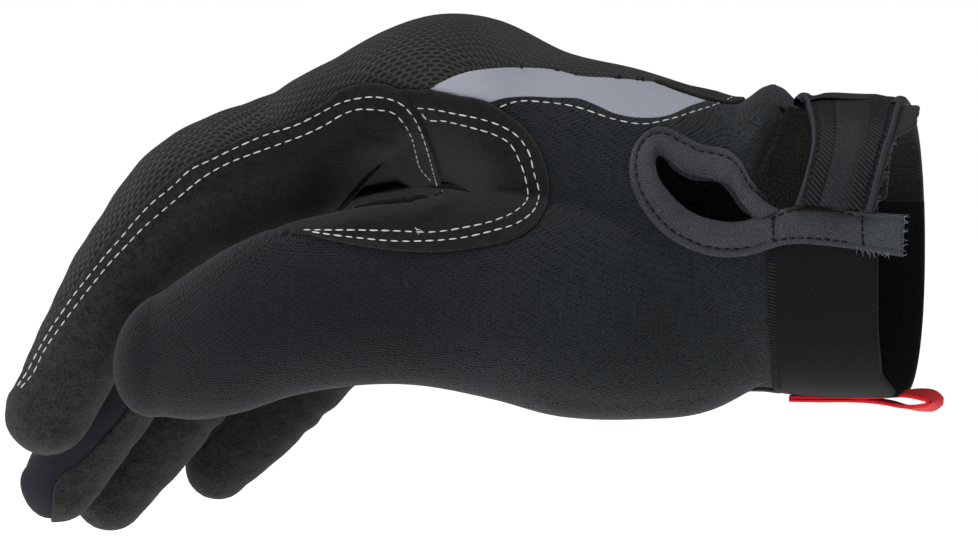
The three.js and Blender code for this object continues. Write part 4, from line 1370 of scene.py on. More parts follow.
BROWN_THREAD = thread_finish("brown_thread", (0.01, 0.009, 0.0075), (0.026, 0.0235, 0.0195))


# Pieces

# The narrowest sheet width that a panel works out, in metres, and how far a cut edge bows out, in
# thicknesses
LEAST_SHEET = 0.01
EDGE_BULGE = 0.35


def finished(name, mesh, material):
    """A piece of the glove from its mesh, in its material."""
    piece = bpy.data.objects.new(name, mesh)
    bpy.context.collection.objects.link(piece)
    mesh.materials.clear()
    mesh.materials.append(material)
    mesh.shade_smooth()
    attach(piece, "root")
    return piece


def boundary_of(tris):
    """Directed boundary edges of a set of triangles."""
    directed = tris[:, [0, 1, 1, 2, 2, 0]].reshape(-1, 2)
    key = np.sort(directed, axis=1)
    _, place, count = np.unique(key, axis=0, return_inverse=True, return_counts=True)
    return directed[count[place.ravel()] == 1]


def edge_distance(surface, rim):
    """How far each point of a surface lies from its rim."""
    tree = KDTree(len(rim))
    for i, p in enumerate(rim):
        tree.insert(p, i)
    tree.balance()
    return np.array([tree.find(p)[2] for p in surface])


def tidy(surface, tris, values, join=0.12):
    """Joins points that lie closer than join, and drops the triangles that vanish."""
    cell = np.round(surface / join).astype(np.int64)
    _, first, place = np.unique(cell, axis=0, return_index=True, return_inverse=True)
    place = place.ravel()
    tris = place[tris]
    keep = (tris[:, 0] != tris[:, 1]) & (tris[:, 1] != tris[:, 2]) & (tris[:, 0] != tris[:, 2])
    tris = tris[keep]
    key = np.sort(tris, axis=1)
    _, once = np.unique(key, axis=0, return_index=True)
    return surface[first], tris[np.sort(once)], values[first]


def cloth_shell(name, outer, tris, out, grain_map, thickness, material, from_edge):
    """A cloth panel with its thickness and a rounded edge, from its outside points and their normals."""
    rim = boundary_of(tris)
    count = len(outer)
    inner = outer - out * thickness
    used = np.unique(rim)
    spot = np.full(count, -1)
    spot[used] = np.arange(len(used))
    side = np.zeros((count, 3))
    way = np.cross(outer[rim[:, 1]] - outer[rim[:, 0]], out[rim[:, 0]])
    for k in range(3):
        side[:, k] += np.bincount(rim[:, 0], way[:, k], count) + np.bincount(rim[:, 1], way[:, k], count)
    side /= np.maximum(np.linalg.norm(side, axis=1), 1e-9)[:, None]
    middle = (outer[used] + inner[used]) / 2 + side[used] * thickness * EDGE_BULGE
    every = np.vstack([outer, inner, middle])
    a, b = rim[:, 0], rim[:, 1]
    ma, mb = 2 * count + spot[a], 2 * count + spot[b]
    faces = np.vstack([
        tris,
        tris[:, ::-1] + count,
        np.stack([b, a, ma], 1), np.stack([b, ma, mb], 1),
        np.stack([mb, ma, a + count], 1), np.stack([mb, a + count, b + count], 1),
    ])
    mesh = new_mesh(name, every, faces)
    maps = np.vstack([grain_map, grain_map, grain_map[used]])
    layer = mesh.uv_layers.new(name="grain")
    layer.data.foreach_set("uv", maps[faces.ravel()].astype(np.float32).ravel())
    distance = np.concatenate([from_edge, from_edge, np.zeros(len(used))])
    kept = mesh.attributes.new("from_edge", "FLOAT", "POINT")
    kept.data.foreach_set("value", distance.astype(np.float32))
    return finished(name, mesh, material)


def area_of(surface, tris):
    """A surface's area in square millimetres."""
    return np.linalg.norm(face_normals(surface, tris), axis=1).sum() / 2


outside_points = []
outside_triangles = []


def keep_outside(surface, tris):
    """Keeps a panel's outside, for the stitches that are laid on it later."""
    start = sum(len(p) for p in outside_points)
    outside_points.append(surface)
    outside_triangles.append(tris + start)


def panel(
    name, chosen, lift, thickness, material, nodes, flat,
    edge_lift=0.0, edge_width=1.0, extra_lift=None, upright=False,
):
    """A panel of the skin. lift moves it out, edge_lift moves its edge further out or in."""
    tris = triangles[chosen]
    used, place = np.unique(tris, return_inverse=True)
    surface = points[used]
    tris = place.reshape(tris.shape)
    kept = np.hstack([normals[used], grain[used], surface])
    surface, tris, kept = tidy(surface, tris, kept)
    used = np.unique(tris)
    renumber = np.full(len(surface), -1)
    renumber[used] = np.arange(len(used))
    surface, tris, kept = surface[used], renumber[tris], kept[used]
    rim = boundary_of(tris)
    distance = edge_distance(surface, surface[np.unique(rim)])
    out = kept[:, :3] / np.linalg.norm(kept[:, :3], axis=1)[:, None]
    rise = lift + edge_lift * np.exp(-((distance / edge_width) ** 2))
    if extra_lift is not None:
        rise = rise + extra_lift(surface)
    outer = surface + out * rise[:, None]
    keep_outside(outer, tris)
    maps = kept[:, 3:5]
    if upright:
        maps = np.stack([-outer[:, 0] + 0.2 * outer[:, 1], 0.55 * outer[:, 1] - outer[:, 2]], axis=1)
    piece = cloth_shell(name, outer, tris, out, maps, thickness, material, distance)
    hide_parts(*nodes)
    cut_area = area_of(outer, tris) * MM * MM
    width, length = flat
    width = min(max(width, cut_area * 1.02 / length), cut_area / 0.5 / length)
    if width < LEAST_SHEET:
        width, length = LEAST_SHEET, cut_area / 0.6 / LEAST_SHEET
    return piece


def lap_over_saddle(surface):
    """Lifts the palm's suede where it laps over the saddle patch."""
    pixel = seen(surface)
    d, _ = line_distance(pixel, smooth_line(INDEX_END, 24))
    return 1.0 * np.exp(-((d * PIXEL / 6) ** 2))


FRONTS = ["index_front", "middle_front", "ring_front", "little_front"]
BACKS = ["index_back", "middle_back", "ring_back", "little_back"]
panel(
    "palm_suede", label == "palm", 0.35, SUEDE, SUEDE_COLOR,
    ["palm_panel"] + FRONTS, (0.15, 0.25), 0.15, 1.5, lap_over_saddle,
)
panel(
    "back_mesh", label == "back", 0.0, KNIT, MESH_COLOR,
    ["back_panel"] + BACKS, (0.15, 0.24), -0.35, 1.4,
)
panel(
    "thumb_tricot", label == "knit", 0.0, KNIT, TRICOT_COLOR,
    ["thumb_panel"], (0.13, 0.19), -0.2, 1.2, upright=True,
)
panel(
    "thumb_suede", label == "thumb_suede", 0.1, SUEDE, SUEDE_COLOR,
    ["thumb_front"], (0.04, 0.08), -0.25, 1.2,
)
panel(
    "saddle_suede", label == "saddle", 0.75, SUEDE, SUEDE_COLOR,
    ["saddle_patch"], (0.045, 0.06), 0.1, 1.0,
)
panel(
    "pale_strip", label == "strip", -0.2, KNIT, STRIP_COLOR,
    ["side_strip"], (0.02, 0.065),
)
panel(
    "cuff_elastic", label == "band", 0.35, ELASTIC_THICK, ELASTIC_COLOR,
    ["cuff_band"], (0.026, 0.12), -0.1, 0.8,
)
centre_y = points[triangles].mean(1)[:, 1]
for k, finger in enumerate(FINGERS):
    mine = (label == "fork") & (face_owner == k + 2)
    for side, turned in (("near", -1), ("far", 1)):
        middle_line = finger[4] * PALM_BREADTH + (TIP_WRAP if k == 1 else 0)
        chosen = mine & ((centre_y - middle_line) * turned > 0)
        node = f"{finger[0]}_fourchette_{side}"
        if chosen.sum() > 200 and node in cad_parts:
            panel(
                node + "_knit", chosen, -0.1, KNIT, NAVY_COLOR,
                [node], (0.012, 0.1), -0.35, 1.2,
            )


# Trims laid on the skin from the photograph's lines

def tree_of(surface, tris):
    """A search tree over a surface, to cast sight lines on."""
    return BVHTree.FromPolygons([tuple(p) for p in surface], [tuple(int(i) for i in t) for t in tris])


skin_tree = tree_of(points, triangles)


def cast(tree, pixel):
    """Where the sight line of a pixel meets a surface: place and normal, or None."""
    place, normal, _, _ = tree.ray_cast(Vector(EYE), Vector(sight(pixel)))
    if place is None:
        return None
    return np.array(place), np.array(normal)


def on_depth(pixel, depth):
    """The place that a pixel shows on the upright plane at a depth across the hand."""
    way = sight(pixel)
    return EYE + way * (depth - EYE[1]) / way[1]


def cell_corners(number):
    """The four corners of each cell of a grid of point numbers."""
    upper, lower = number[:-1], number[1:]
    return upper[:, :-1].ravel(), upper[:, 1:].ravel(), lower[:, 1:].ravel(), lower[:, :-1].ravel()


def thick_grid(name, top, bottom, maps, material):
    """A closed piece between two grids of points. maps is the grain's map at the grid's points."""
    rows, columns = top.shape[:2]
    count = rows * columns
    number = np.arange(count).reshape(rows, columns)
    a, b, c, d = cell_corners(number)
    faces = np.vstack([np.stack([a, b, c], 1), np.stack([a, c, d], 1)])
    rim = np.concatenate([number[0], number[1:, -1], number[-1, -2::-1], number[-2:0:-1, 0]])
    after = np.roll(rim, -1)
    sides = np.vstack([
        np.stack([after, rim, rim + count], 1),
        np.stack([after, rim + count, after + count], 1),
    ])
    every = np.vstack([top.reshape(-1, 3), bottom.reshape(-1, 3)])
    faces = np.vstack([faces, faces[:, ::-1] + count, sides])
    corners = every[faces]
    volume = (corners[:, 0] * np.cross(corners[:, 1], corners[:, 2])).sum()
    if volume < 0:
        faces = faces[:, ::-1]
    mesh = new_mesh(name, every, faces)
    both = np.vstack([maps.reshape(-1, 2), maps.reshape(-1, 2)])
    mesh.uv_layers.new(name="grain").data.foreach_set("uv", both[faces.ravel()].astype(np.float32).ravel())
    return finished(name, mesh, material)


# The notch's binding and its tail: share of the breadth from the outer edge, and height in millimetres
ARM_PROFILE = [
    (0, 0.2), (0.02, 0.7), (0.07, 1.0), (0.15, 1.0), (0.2, 0.85), (0.24, 0.55), (0.28, 0.8),
    (0.34, 1.35), (0.42, 1.8), (0.52, 2.15), (0.62, 2.3), (0.72, 2.2), (0.82, 1.8), (0.9, 1.25),
    (0.96, 0.5), (1, -0.6),
]
TAIL_PROFILE = [
    (0, 0.3), (0.02, 0.8), (0.07, 1.15), (0.12, 1.0), (0.15, 0.8), (0.18, 1.0), (0.24, 1.25), (0.4, 1.4),
    (0.6, 1.4), (0.76, 1.25), (0.82, 1.0), (0.85, 0.8), (0.88, 1.0), (0.93, 1.15), (0.98, 0.8), (1, 0.3),
]
BINDING_ROWS = 190
BINDING_THICK = 0.55
TAIL_LIFT = 0.25
# The tail begins in the last rows, at a column of pixels, and past the cuff's end it lies on the air
TAIL_SHARE = 0.6
TAIL_START = 775
TURNS_TO_TAIL = 12
CUFF_END = 868


def binding_grid():
    """The binding's grid on the skin: places, normals, heights, share of tail and run along it."""
    pairs = np.array([outer + inner for outer, inner in BINDING], float)
    rows = BINDING_ROWS
    lines = smooth_rows(np.arange(len(pairs)), pairs, np.linspace(0, len(pairs) - 1, rows))
    share_arm = np.array(ARM_PROFILE)
    share_tail = np.array(TAIL_PROFILE)
    base = np.zeros((rows, len(share_arm), 3))
    out = np.zeros_like(base)
    tail = np.zeros(rows)
    last = None
    for i, (ox, oy, ix, iy) in enumerate(lines):
        if i > rows * TAIL_SHARE:
            tail[i] = ramp(np.array([ox]), TAIL_START - TURNS_TO_TAIL, TAIL_START + TURNS_TO_TAIL)[0]
        for j in range(len(share_arm)):
            t = share_arm[j, 0] * (1 - tail[i]) + share_tail[j, 0] * tail[i]
            pixel = (ox + (ix - ox) * t, oy + (iy - oy) * t)
            if pixel[0] > CUFF_END and i > rows * TAIL_SHARE:
                spot, normal = last[j]
                way = sight(pixel)
                base[i, j] = EYE + way * ((spot - EYE) @ normal) / (way @ normal)
                out[i, j] = normal
                continue
            base[i, j], out[i, j] = cast(skin_tree, pixel)
        if ox < CUFF_END - 3:
            last = [(base[i, j].copy(), out[i, j].copy()) for j in range(len(share_arm))]
    for _ in range(14):
        for grid in (base, out):
            grid[1:-1] = (grid[:-2] + 2 * grid[1:-1] + grid[2:]) / 4
    middle = out[:, 4:12].mean(1, keepdims=True)
    out = out * 0.4 + middle * 0.6
    out /= np.linalg.norm(out, axis=2)[:, :, None]
    arm_height = share_arm[None, :, 1] * (1 - tail[:, None])
    height = arm_height + (share_tail[None, :, 1] + TAIL_LIFT) * tail[:, None]
    length = run_along(base[:, 8])
    ripple = 0.12 * np.sin(length * 1.3) + 0.1 * np.sin(length * 0.61 + 1)
    height = height + ripple[:, None] * np.sin(np.pi * share_arm[None, :, 0]) * (1 - 0.6 * tail[:, None])
    return base, out, height, tail, length


base, out, height, tail, length = binding_grid()
binding_top = base + out * height[:, :, None]
binding_under = base + out * np.minimum(height - BINDING_THICK, 0.1)[:, :, None]
band_steps = np.cumsum(np.linalg.norm(np.diff(base, axis=1), axis=2), axis=1)
across_band = np.concatenate([np.zeros((len(base), 1)), band_steps], axis=1)
binding_map = np.stack([np.repeat(length[:, None], base.shape[1], axis=1), across_band], axis=2)
binding = thick_grid("notch_binding_knit", binding_top, binding_under, binding_map, BINDING_COLOR)
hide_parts("notch_binding")


# The loop patch and the strap go round the wrist's top: thumb side first, then over to the far side
def cuff_point(x, turn, lift):
    """Points round the wrist's section at x, at a turn from the far side and a lift off the skin."""
    across, up, half_side, half_up, roll = palm_rows(np.asarray(x).ravel())
    turn = np.asarray(turn).ravel()
    lift = np.broadcast_to(lift, turn.shape)
    c, s = np.cos(turn), np.sin(turn)
    a = (half_side + lift) * np.sign(c) * np.abs(c) ** PALM_FULLNESS
    b = (half_up + lift) * np.sign(s) * np.abs(s) ** PALM_FULLNESS
    y = across + a * np.cos(roll) + b * np.sin(roll)
    z = up - a * np.sin(roll) + b * np.cos(roll)
    return np.stack([np.asarray(x).ravel(), y, z], axis=1)


def cuff_turn(place):
    """The turn round the wrist's section at which a place lies."""
    across, up, half_side, half_up, roll = palm_rows(place[None, 0])
    dy, dz = place[1] - across[0], place[2] - up[0]
    a = dy * np.cos(roll[0]) - dz * np.sin(roll[0])
    b = dy * np.sin(roll[0]) + dz * np.cos(roll[0])
    c = np.sign(a) * np.abs(a / half_side[0]) ** (1 / PALM_FULLNESS)
    s = np.sign(b) * np.abs(b / half_up[0]) ** (1 / PALM_FULLNESS)
    return math.atan2(s, c) % (2 * math.pi)


# Hand edge beside arm edge, in pixels, from the lower end up
STRAP_EDGES = [
    ((797, 208), (874, 214)), ((803, 192), (878, 196)), ((810, 168), (884, 174)), ((813, 148), (890, 154)),
    ((810, 128), (897, 136)), ((801, 108), (904, 114)),
]
PATCH_EDGES = [
    ((771, 206), (860, 214)), ((762, 186), (862, 192)), ((768, 168), (868, 174)), ((778, 146), (874, 154)),
    ((784, 128), (880, 136)), ((789, 112), (886, 116)),
]


def wrap_rows(edges, hand_x, arm_x, end_turn, count):
    """Edge places round the wrist: x and turn of the hand edge, then of the arm edge."""
    rows = []
    for left, right in edges:
        row = []
        for pixel in (left, right):
            place = cast(skin_tree, (min(pixel[0], CUFF_END), pixel[1]))[0]
            way = sight(pixel)
            flat = np.array([0.0, 1.0, 0.0])
            place = EYE + way * ((place - EYE) @ flat) / (way @ flat)
            row += [place[0], cuff_turn(place)]
        rows.append(row)
    for turn in np.radians([106, 84, 62, 40, end_turn]):
        rows.append([hand_x, turn, arm_x, turn])
    return smooth_rows(np.arange(len(rows)), np.array(rows), np.linspace(0, len(rows) - 1, count))


def wrapped(rows, shares, lifts):
    """A grid round the wrist. shares run from the hand edge to the arm edge, lifts is the height at each."""
    shares = np.asarray(shares)
    x = rows[:, 0:1] * (1 - shares) + rows[:, 2:3] * shares
    turn = rows[:, 1:2] * (1 - shares) + rows[:, 3:4] * shares
    lift = np.broadcast_to(lifts, x.shape)
    return cuff_point(x, turn, lift.ravel()).reshape(len(rows), len(shares), 3)


def run_of(grid):
    """The way along a grid's middle, from its first row to each row."""
    return run_along(grid[:, grid.shape[1] // 2])


PATCH_LIFT = 1.3
PATCH_UNDER = 0.15
PATCH_BREADTH = 22
patch_rows = wrap_rows(PATCH_EDGES, -20.5, -1, 8, 70)
patch_shares = np.linspace(0, 1, 22)
patch_top = wrapped(patch_rows, patch_shares, PATCH_LIFT)
patch_under = wrapped(patch_rows, patch_shares, PATCH_UNDER)
patch_across = PATCH_BREADTH * patch_shares[None]
patch_map = np.stack(np.broadcast_arrays(run_of(patch_top)[:, None], patch_across), axis=2)
loop_patch = thick_grid("loop_patch_ground", patch_top, patch_under, patch_map, PILE_GROUND)
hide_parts("loop_patch")

# The strap's height across, from its middle to its edge: half breadth share and millimetres
STRAP_HALF_ACROSS = [
    (0, 1.82), (0.15, 1.82), (0.32, 1.8), (0.35, 1.6), (0.38, 1.75), (0.5, 1.75), (0.7, 1.75),
    (0.77, 1.7), (0.8, 1.45), (0.83, 1.25), (0.86, 1.45), (0.885, 1.8), (0.92, 1.95), (0.955, 1.85),
    (0.99, 1.35), (1, 0.7),
]
STRAP_ACROSS = [(-share, rise) for share, rise in STRAP_HALF_ACROSS[:0:-1]] + STRAP_HALF_ACROSS
STRAP_HALF = 8.6
STRAP_LIFT = 1.5
PLATE_LIFT = 2.3
strap_rows = wrap_rows(STRAP_EDGES, -21.6, 1.4, 9, 110)
strap_shares = np.array([row[0] for row in STRAP_ACROSS])
strap_heights = np.array([row[1] for row in STRAP_ACROSS])
strap_run = run_of(wrapped(strap_rows, (strap_shares + 1) / 2, STRAP_LIFT))
plate = ramp(strap_run, 31, 32) * (1 - ramp(strap_run, 47, 48))
on_plate = plate[:, None] * (1 - ramp(np.abs(strap_shares), 0.5, 0.56))[None]
lift_grid = STRAP_LIFT + strap_heights[None] * (1 - on_plate) + PLATE_LIFT * on_plate
strap_top = wrapped(strap_rows, (strap_shares + 1) / 2, lift_grid)
strap_under = wrapped(strap_rows, (strap_shares + 1) / 2, STRAP_LIFT)
strap_map = np.stack(np.broadcast_arrays(strap_run[:, None], STRAP_HALF * strap_shares[None]), axis=2)
strap = thick_grid("closure_strap_facing", strap_top, strap_under, strap_map, RUBBER_COLOR)
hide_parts("closure_strap")

# The felt behind the strap shows along its arm edge and sticks out at the top
felt_rows = strap_rows.copy()
sticks_out = 0.45 + 3.4 * ramp(strap_run, 19, 24) * (1 - ramp(strap_run, 33, 40))
felt_rows[:, 0] = strap_rows[:, 2] - 3
felt_rows[:, 1] = strap_rows[:, 3]
felt_rows[:, 2] += sticks_out
felt_shares = np.linspace(0, 1, 9)
FELT_ROWS = 90
FELT_DOWN = 0.25
for name, low, high, back in (("strap_felt_upper", 0.3, 0.8, 0.0), ("strap_felt_lower", -0.5, 0.1, 0.8)):
    rows = felt_rows.copy()
    rng = np.random.default_rng(7 if back else 3)
    rows[:, 2] += -back + 0.12 * np.sin(strap_run * 1.1 + 3 * back) + 0.07 * rng.standard_normal(len(rows))
    top = wrapped(rows, felt_shares, STRAP_LIFT + high - FELT_DOWN)[:FELT_ROWS]
    under = wrapped(rows, felt_shares, STRAP_LIFT + low - FELT_DOWN)[:FELT_ROWS]
    felt_map = np.stack(np.broadcast_arrays(strap_run[:, None], 4 * felt_shares[None]), axis=2)
    felt = thick_grid(name, top, under, felt_map[:FELT_ROWS], FELT_COLOR)


def socket_of(tree, name):
    """The key under which a modifier keeps one of the tree's inputs."""
    inputs = [item for item in tree.interface.items_tree if item.in_out == "INPUT"]
    return next(item.identifier for item in inputs if item.name == name)


def thread_tree(name, numbers):
    """A new tree with its inputs: the geometry, the given lengths in metres and the thread's material."""
    tree = bpy.data.node_groups.new(name, "GeometryNodeTree")
    tree.interface.new_socket("Geometry", in_out="INPUT", socket_type="NodeSocketGeometry")
    for key, start in numbers:
        made = tree.interface.new_socket(key, in_out="INPUT", socket_type="NodeSocketFloat")
        made.default_value = start
    tree.interface.new_socket("Thread", in_out="INPUT", socket_type="NodeSocketMaterial")
    tree.interface.new_socket("Geometry", in_out="OUTPUT", socket_type="NodeSocketGeometry")
    return tree, tree.nodes.new("NodeGroupInput").outputs


def lay_threads(tree, given, links):
    """Sets one thread on every point, makes the threads real and paints them."""
    link = tree.links.new
    lay = tree.nodes.new("GeometryNodeInstanceOnPoints")
    for key, output in links.items():
        link(output, lay.inputs[key])
    real = tree.nodes.new("GeometryNodeRealizeInstances")
    link(lay.outputs["Instances"], real.inputs["Geometry"])
    paint = tree.nodes.new("GeometryNodeSetMaterial")
    link(real.outputs["Geometry"], paint.inputs["Geometry"])
    link(given["Thread"], paint.inputs["Material"])
    result = tree.nodes.new("NodeGroupOutput")
    link(paint.outputs["Geometry"], result.inputs["Geometry"])


def grown(name, mesh, tree, numbers, thread):
    """The piece of threads that a tree grows on a mesh."""
    holder = bpy.data.objects.new(name + "_holder", mesh)
    bpy.context.collection.objects.link(holder)
    modifier = holder.modifiers.new("threads", "NODES")
    modifier.node_group = tree
    for key, number in numbers.items():
        modifier[socket_of(tree, key)] = number
    modifier[socket_of(tree, "Thread")] = thread
    graph = bpy.context.evaluated_depsgraph_get()
    made = bpy.data.meshes.new_from_object(holder.evaluated_get(graph))
    bpy.data.objects.remove(holder)
    made.name = name
    return finished(name, made, thread)


def pile_tree():
    """Scatters small open loops over a patch."""
    sizes = (("Spacing", 0.0004), ("Loop size", 0.0004), ("Yarn", 0.0001))
    tree, given = thread_tree("Loop pile", sizes)
    link = tree.links.new
    scatter = tree.nodes.new("GeometryNodeDistributePointsOnFaces")
    scatter.distribute_method = "POISSON"
    scatter.inputs["Density Max"].default_value = 9e6
    scatter.inputs["Seed"].default_value = 11
    link(given["Geometry"], scatter.inputs["Mesh"])
    link(given["Spacing"], scatter.inputs["Distance Min"])
    circle = tree.nodes.new("GeometryNodeCurvePrimitiveCircle")
    circle.inputs["Resolution"].default_value = 6
    link(given["Loop size"], circle.inputs["Radius"])
    yarn = tree.nodes.new("GeometryNodeCurvePrimitiveCircle")
    yarn.inputs["Resolution"].default_value = 3
    link(given["Yarn"], yarn.inputs["Radius"])
    tube = tree.nodes.new("GeometryNodeCurveToMesh")
    link(circle.outputs["Curve"], tube.inputs["Curve"])
    link(yarn.outputs["Curve"], tube.inputs["Profile Curve"])
    stand = tree.nodes.new("GeometryNodeTransform")
    stand.inputs["Rotation"].default_value = (math.pi / 2, 0, 0)
    link(tube.outputs["Mesh"], stand.inputs["Geometry"])
    turn = tree.nodes.new("FunctionNodeRandomValue")
    turn.data_type = "FLOAT_VECTOR"
    turn.inputs[0].default_value = (-0.7, -0.7, -3.1)
    turn.inputs[1].default_value = (0.7, 0.7, 3.1)
    turn.inputs["Seed"].default_value = 4
    lean = tree.nodes.new("FunctionNodeRotateRotation")
    lean.rotation_space = "LOCAL"
    link(scatter.outputs["Rotation"], lean.inputs["Rotation"])
    link(turn.outputs[0], lean.inputs["Rotate By"])
    lay_threads(tree, given, {
        "Points": scatter.outputs["Points"],
        "Instance": stand.outputs["Geometry"],
        "Rotation": lean.outputs["Rotation"],
    })
    return tree


def grown_pile(name, grid):
    """The pile that shows beside the strap, on a patch of the grid."""
    rows, columns = grid.shape[:2]
    a, b, c, d = cell_corners(np.arange(rows * columns).reshape(rows, columns))
    faces = np.stack([a, b, c, d], 1)
    corners = grid.reshape(-1, 3)
    outward = np.cross(corners[b[0]] - corners[a[0]], corners[d[0]] - corners[a[0]])
    if outward @ FORWARD > 0:
        faces = faces[:, ::-1]
    sizes = {"Spacing": 0.36 * MM, "Loop size": 0.34 * MM, "Yarn": 0.09 * MM}
    return grown(name, new_mesh(name + "_patch", corners, faces), pile_tree(), sizes, PILE_COLOR)


grown_pile("loop_patch_pile", patch_top[:36, :15])


# The red pull loop, a tape that comes out under the cuff and goes back
PULL_LOOP_LINE = [
    (792, 396.5), (820, 397), (850, 397), (875, 396), (893, 395), (906, 393.5), (920, 394), (932, 397),
    (936.5, 401.5), (932, 406), (920, 408), (905, 406.5), (890, 403), (872, 400.5), (848, 399.5),
    (820, 399.5), (792, 399),
]
loop_line = np.array([on_depth(pixel, 0) for pixel in smooth_line(PULL_LOOP_LINE, 110)])
loop_way = np.gradient(loop_line, axis=0)
loop_way /= np.linalg.norm(loop_way, axis=1)[:, None]
tape_side = np.array([0.0, 1.0, 0.0])
loop_out = np.cross(loop_way, tape_side)
tape_shares = np.linspace(-1, 1, 9)
twist = 0.22 * ramp(loop_line[:, 0], -2, 8)
loop_side = tape_side[None] * np.cos(twist)[:, None] + loop_out * np.sin(twist)[:, None]
loop_grid = loop_line[:, None] + loop_side[:, None] * (tape_shares * TAPE_HALF)[None, :, None]
crown = (TAPE / 2) * (1 - 0.25 * tape_shares ** 8)
loop_run = run_of(loop_grid)
loop_map = np.stack(np.broadcast_arrays(loop_run[:, None], TAPE_HALF * tape_shares[None]), axis=2)
half_tape = loop_out[:, None] * crown[None, :, None]
pull_loop = thick_grid(
    "pull_loop_tape", loop_grid + half_tape, loop_grid - half_tape, loop_map, WEBBING_COLOR,
)
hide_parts("pull_loop")


# Stitches: one tree lays a thread on every point of a row

def stitch_tree():
    """Lays one long bead of thread on every point, along its way and with its outside up."""
    sizes = (("Length", 0.0018), ("Width", 0.0004), ("Seed spread", 0.05))
    tree, given = thread_tree("Thread stitches", sizes)
    link = tree.links.new
    ball = tree.nodes.new("GeometryNodeMeshUVSphere")
    ball.inputs["Segments"].default_value = 8
    ball.inputs["Rings"].default_value = 6
    ball.inputs["Radius"].default_value = 0.5
    size = tree.nodes.new("ShaderNodeCombineXYZ")
    for axis, key in enumerate(("Length", "Width", "Width")):
        link(given[key], size.inputs[axis])
    shaped = tree.nodes.new("GeometryNodeTransform")
    link(ball.outputs["Mesh"], shaped.inputs["Geometry"])
    link(size.outputs[0], shaped.inputs["Scale"])
    turned = None
    for axis, key in (("X", "way"), ("Z", "out")):
        kept = tree.nodes.new("GeometryNodeInputNamedAttribute")
        kept.data_type = "FLOAT_VECTOR"
        kept.inputs["Name"].default_value = key
        align = tree.nodes.new("FunctionNodeAlignRotationToVector")
        align.axis = axis
        if turned is not None:
            align.pivot_axis = "X"
            link(turned, align.inputs["Rotation"])
        link(kept.outputs["Attribute"], align.inputs["Vector"])
        turned = align.outputs["Rotation"]
    spread = tree.nodes.new("FunctionNodeRandomValue")
    spread.data_type = "FLOAT"
    spread.inputs["Seed"].default_value = 5
    for slot, kind in ((2, "SUBTRACT"), (3, "ADD")):
        link(math_node(tree, kind, 1, given["Seed spread"]), spread.inputs[slot])
    lay_threads(tree, given, {
        "Points": given["Geometry"],
        "Instance": shaped.outputs["Geometry"],
        "Rotation": turned,
        "Scale": spread.outputs[1],
    })
    return tree


STITCHES = stitch_tree()


def sew(name, rows, length, width, thread):
    """Sews rows of stitches. rows holds (centres, ways, outs) in millimetres."""
    centres, ways, outs = (np.vstack([row[part] for row in rows]) for part in range(3))
    mesh = bpy.data.meshes.new(name + "_points")
    mesh.from_pydata([tuple(p * MM) for p in centres], [], [])
    for key, vectors in (("way", ways), ("out", outs)):
        kept = mesh.attributes.new(key, "FLOAT_VECTOR", "POINT")
        kept.data.foreach_set("vector", vectors.astype(np.float32).ravel())
    sizes = {"Length": length * MM, "Width": width * MM, "Seed spread": 0.12}
    return grown(name, mesh, STITCHES, sizes, thread)


def spaced(line, outs, pitch, slant=0.0):
    """Centres, ways and outs of stitches set along a line in space."""
    run = run_along(line)
    at = np.arange(pitch / 2, run[-1], pitch)
    centres = np.stack([np.interp(at, run, line[:, k]) for k in range(3)], axis=1)
    before = np.stack([np.interp(at - pitch * 0.4, run, line[:, k]) for k in range(3)], axis=1)
    after = np.stack([np.interp(at + pitch * 0.4, run, line[:, k]) for k in range(3)], axis=1)
    ways = after - before
    ways /= np.linalg.norm(ways, axis=1)[:, None] + 1e-9
    turned = np.stack([np.interp(at, run, outs[:, k]) for k in range(3)], axis=1)
    turned /= np.linalg.norm(turned, axis=1)[:, None]
    if slant:
        side = np.cross(turned, ways)
        ways = ways * math.cos(slant) + side * math.sin(slant)
    return centres + turned * STITCH_LIFT, ways, turned


outside_tree = tree_of(np.vstack(outside_points), np.vstack(outside_triangles))


def row_on_glove(pixel_line, pitch, count=500, slant=0.0):
    """A row of stitches along a line of the photograph, on whatever panel lies there."""
    places = []
    normals_there = []
    for pixel in smooth_line(pixel_line, count):
        hit = cast(outside_tree, pixel)
        if hit is not None:
            places.append(hit[0])
            normals_there.append(hit[1])
    places = np.array(places)
    normals_there = np.array(normals_there)
    for _ in range(6):
        places[1:-1] = (places[:-2] + 2 * places[1:-1] + places[2:]) / 4
        normals_there[1:-1] = (normals_there[:-2] + 2 * normals_there[1:-1] + normals_there[2:]) / 4
    return spaced(places, normals_there, pitch, slant)


white_rows = [row_on_glove(row, STITCH_PITCH) for row in INDEX_ROWS + SADDLE_ROWS]
white_rows.append(row_on_glove(STRIP_ROW, STITCH_PITCH))
sew("seam_stitches_white", white_rows, STITCH_LENGTH, STITCH_WIDTH, PALE_THREAD)

# Dark rows: round the slit, the box on the binding's tail, and along the strap's two edges
ROUND_SLIT = slice(0, 145)
ON_TAIL = slice(150, -14)
ACROSS_TAIL = slice(3, 13)
ALONG_STRAP = slice(3, -3)
dark_rows = [spaced(binding_top[ROUND_SLIT, 5], out[ROUND_SLIT, 5], 2.1)]
for column in (4, 11):
    dark_rows.append(spaced(binding_top[ON_TAIL, column], out[ON_TAIL, column], 1.9))
for i in (151, 178):
    dark_rows.append(spaced(binding_top[i, ACROSS_TAIL], out[i, ACROSS_TAIL], 1.5))
strap_out = strap_top - strap_under
for column in (6, -7):
    dark_rows.append(spaced(strap_top[ALONG_STRAP, column], strap_out[ALONG_STRAP, column], 1.8))
sew("trim_stitches_dark", dark_rows, 1.4, 0.55, DARK_THREAD)


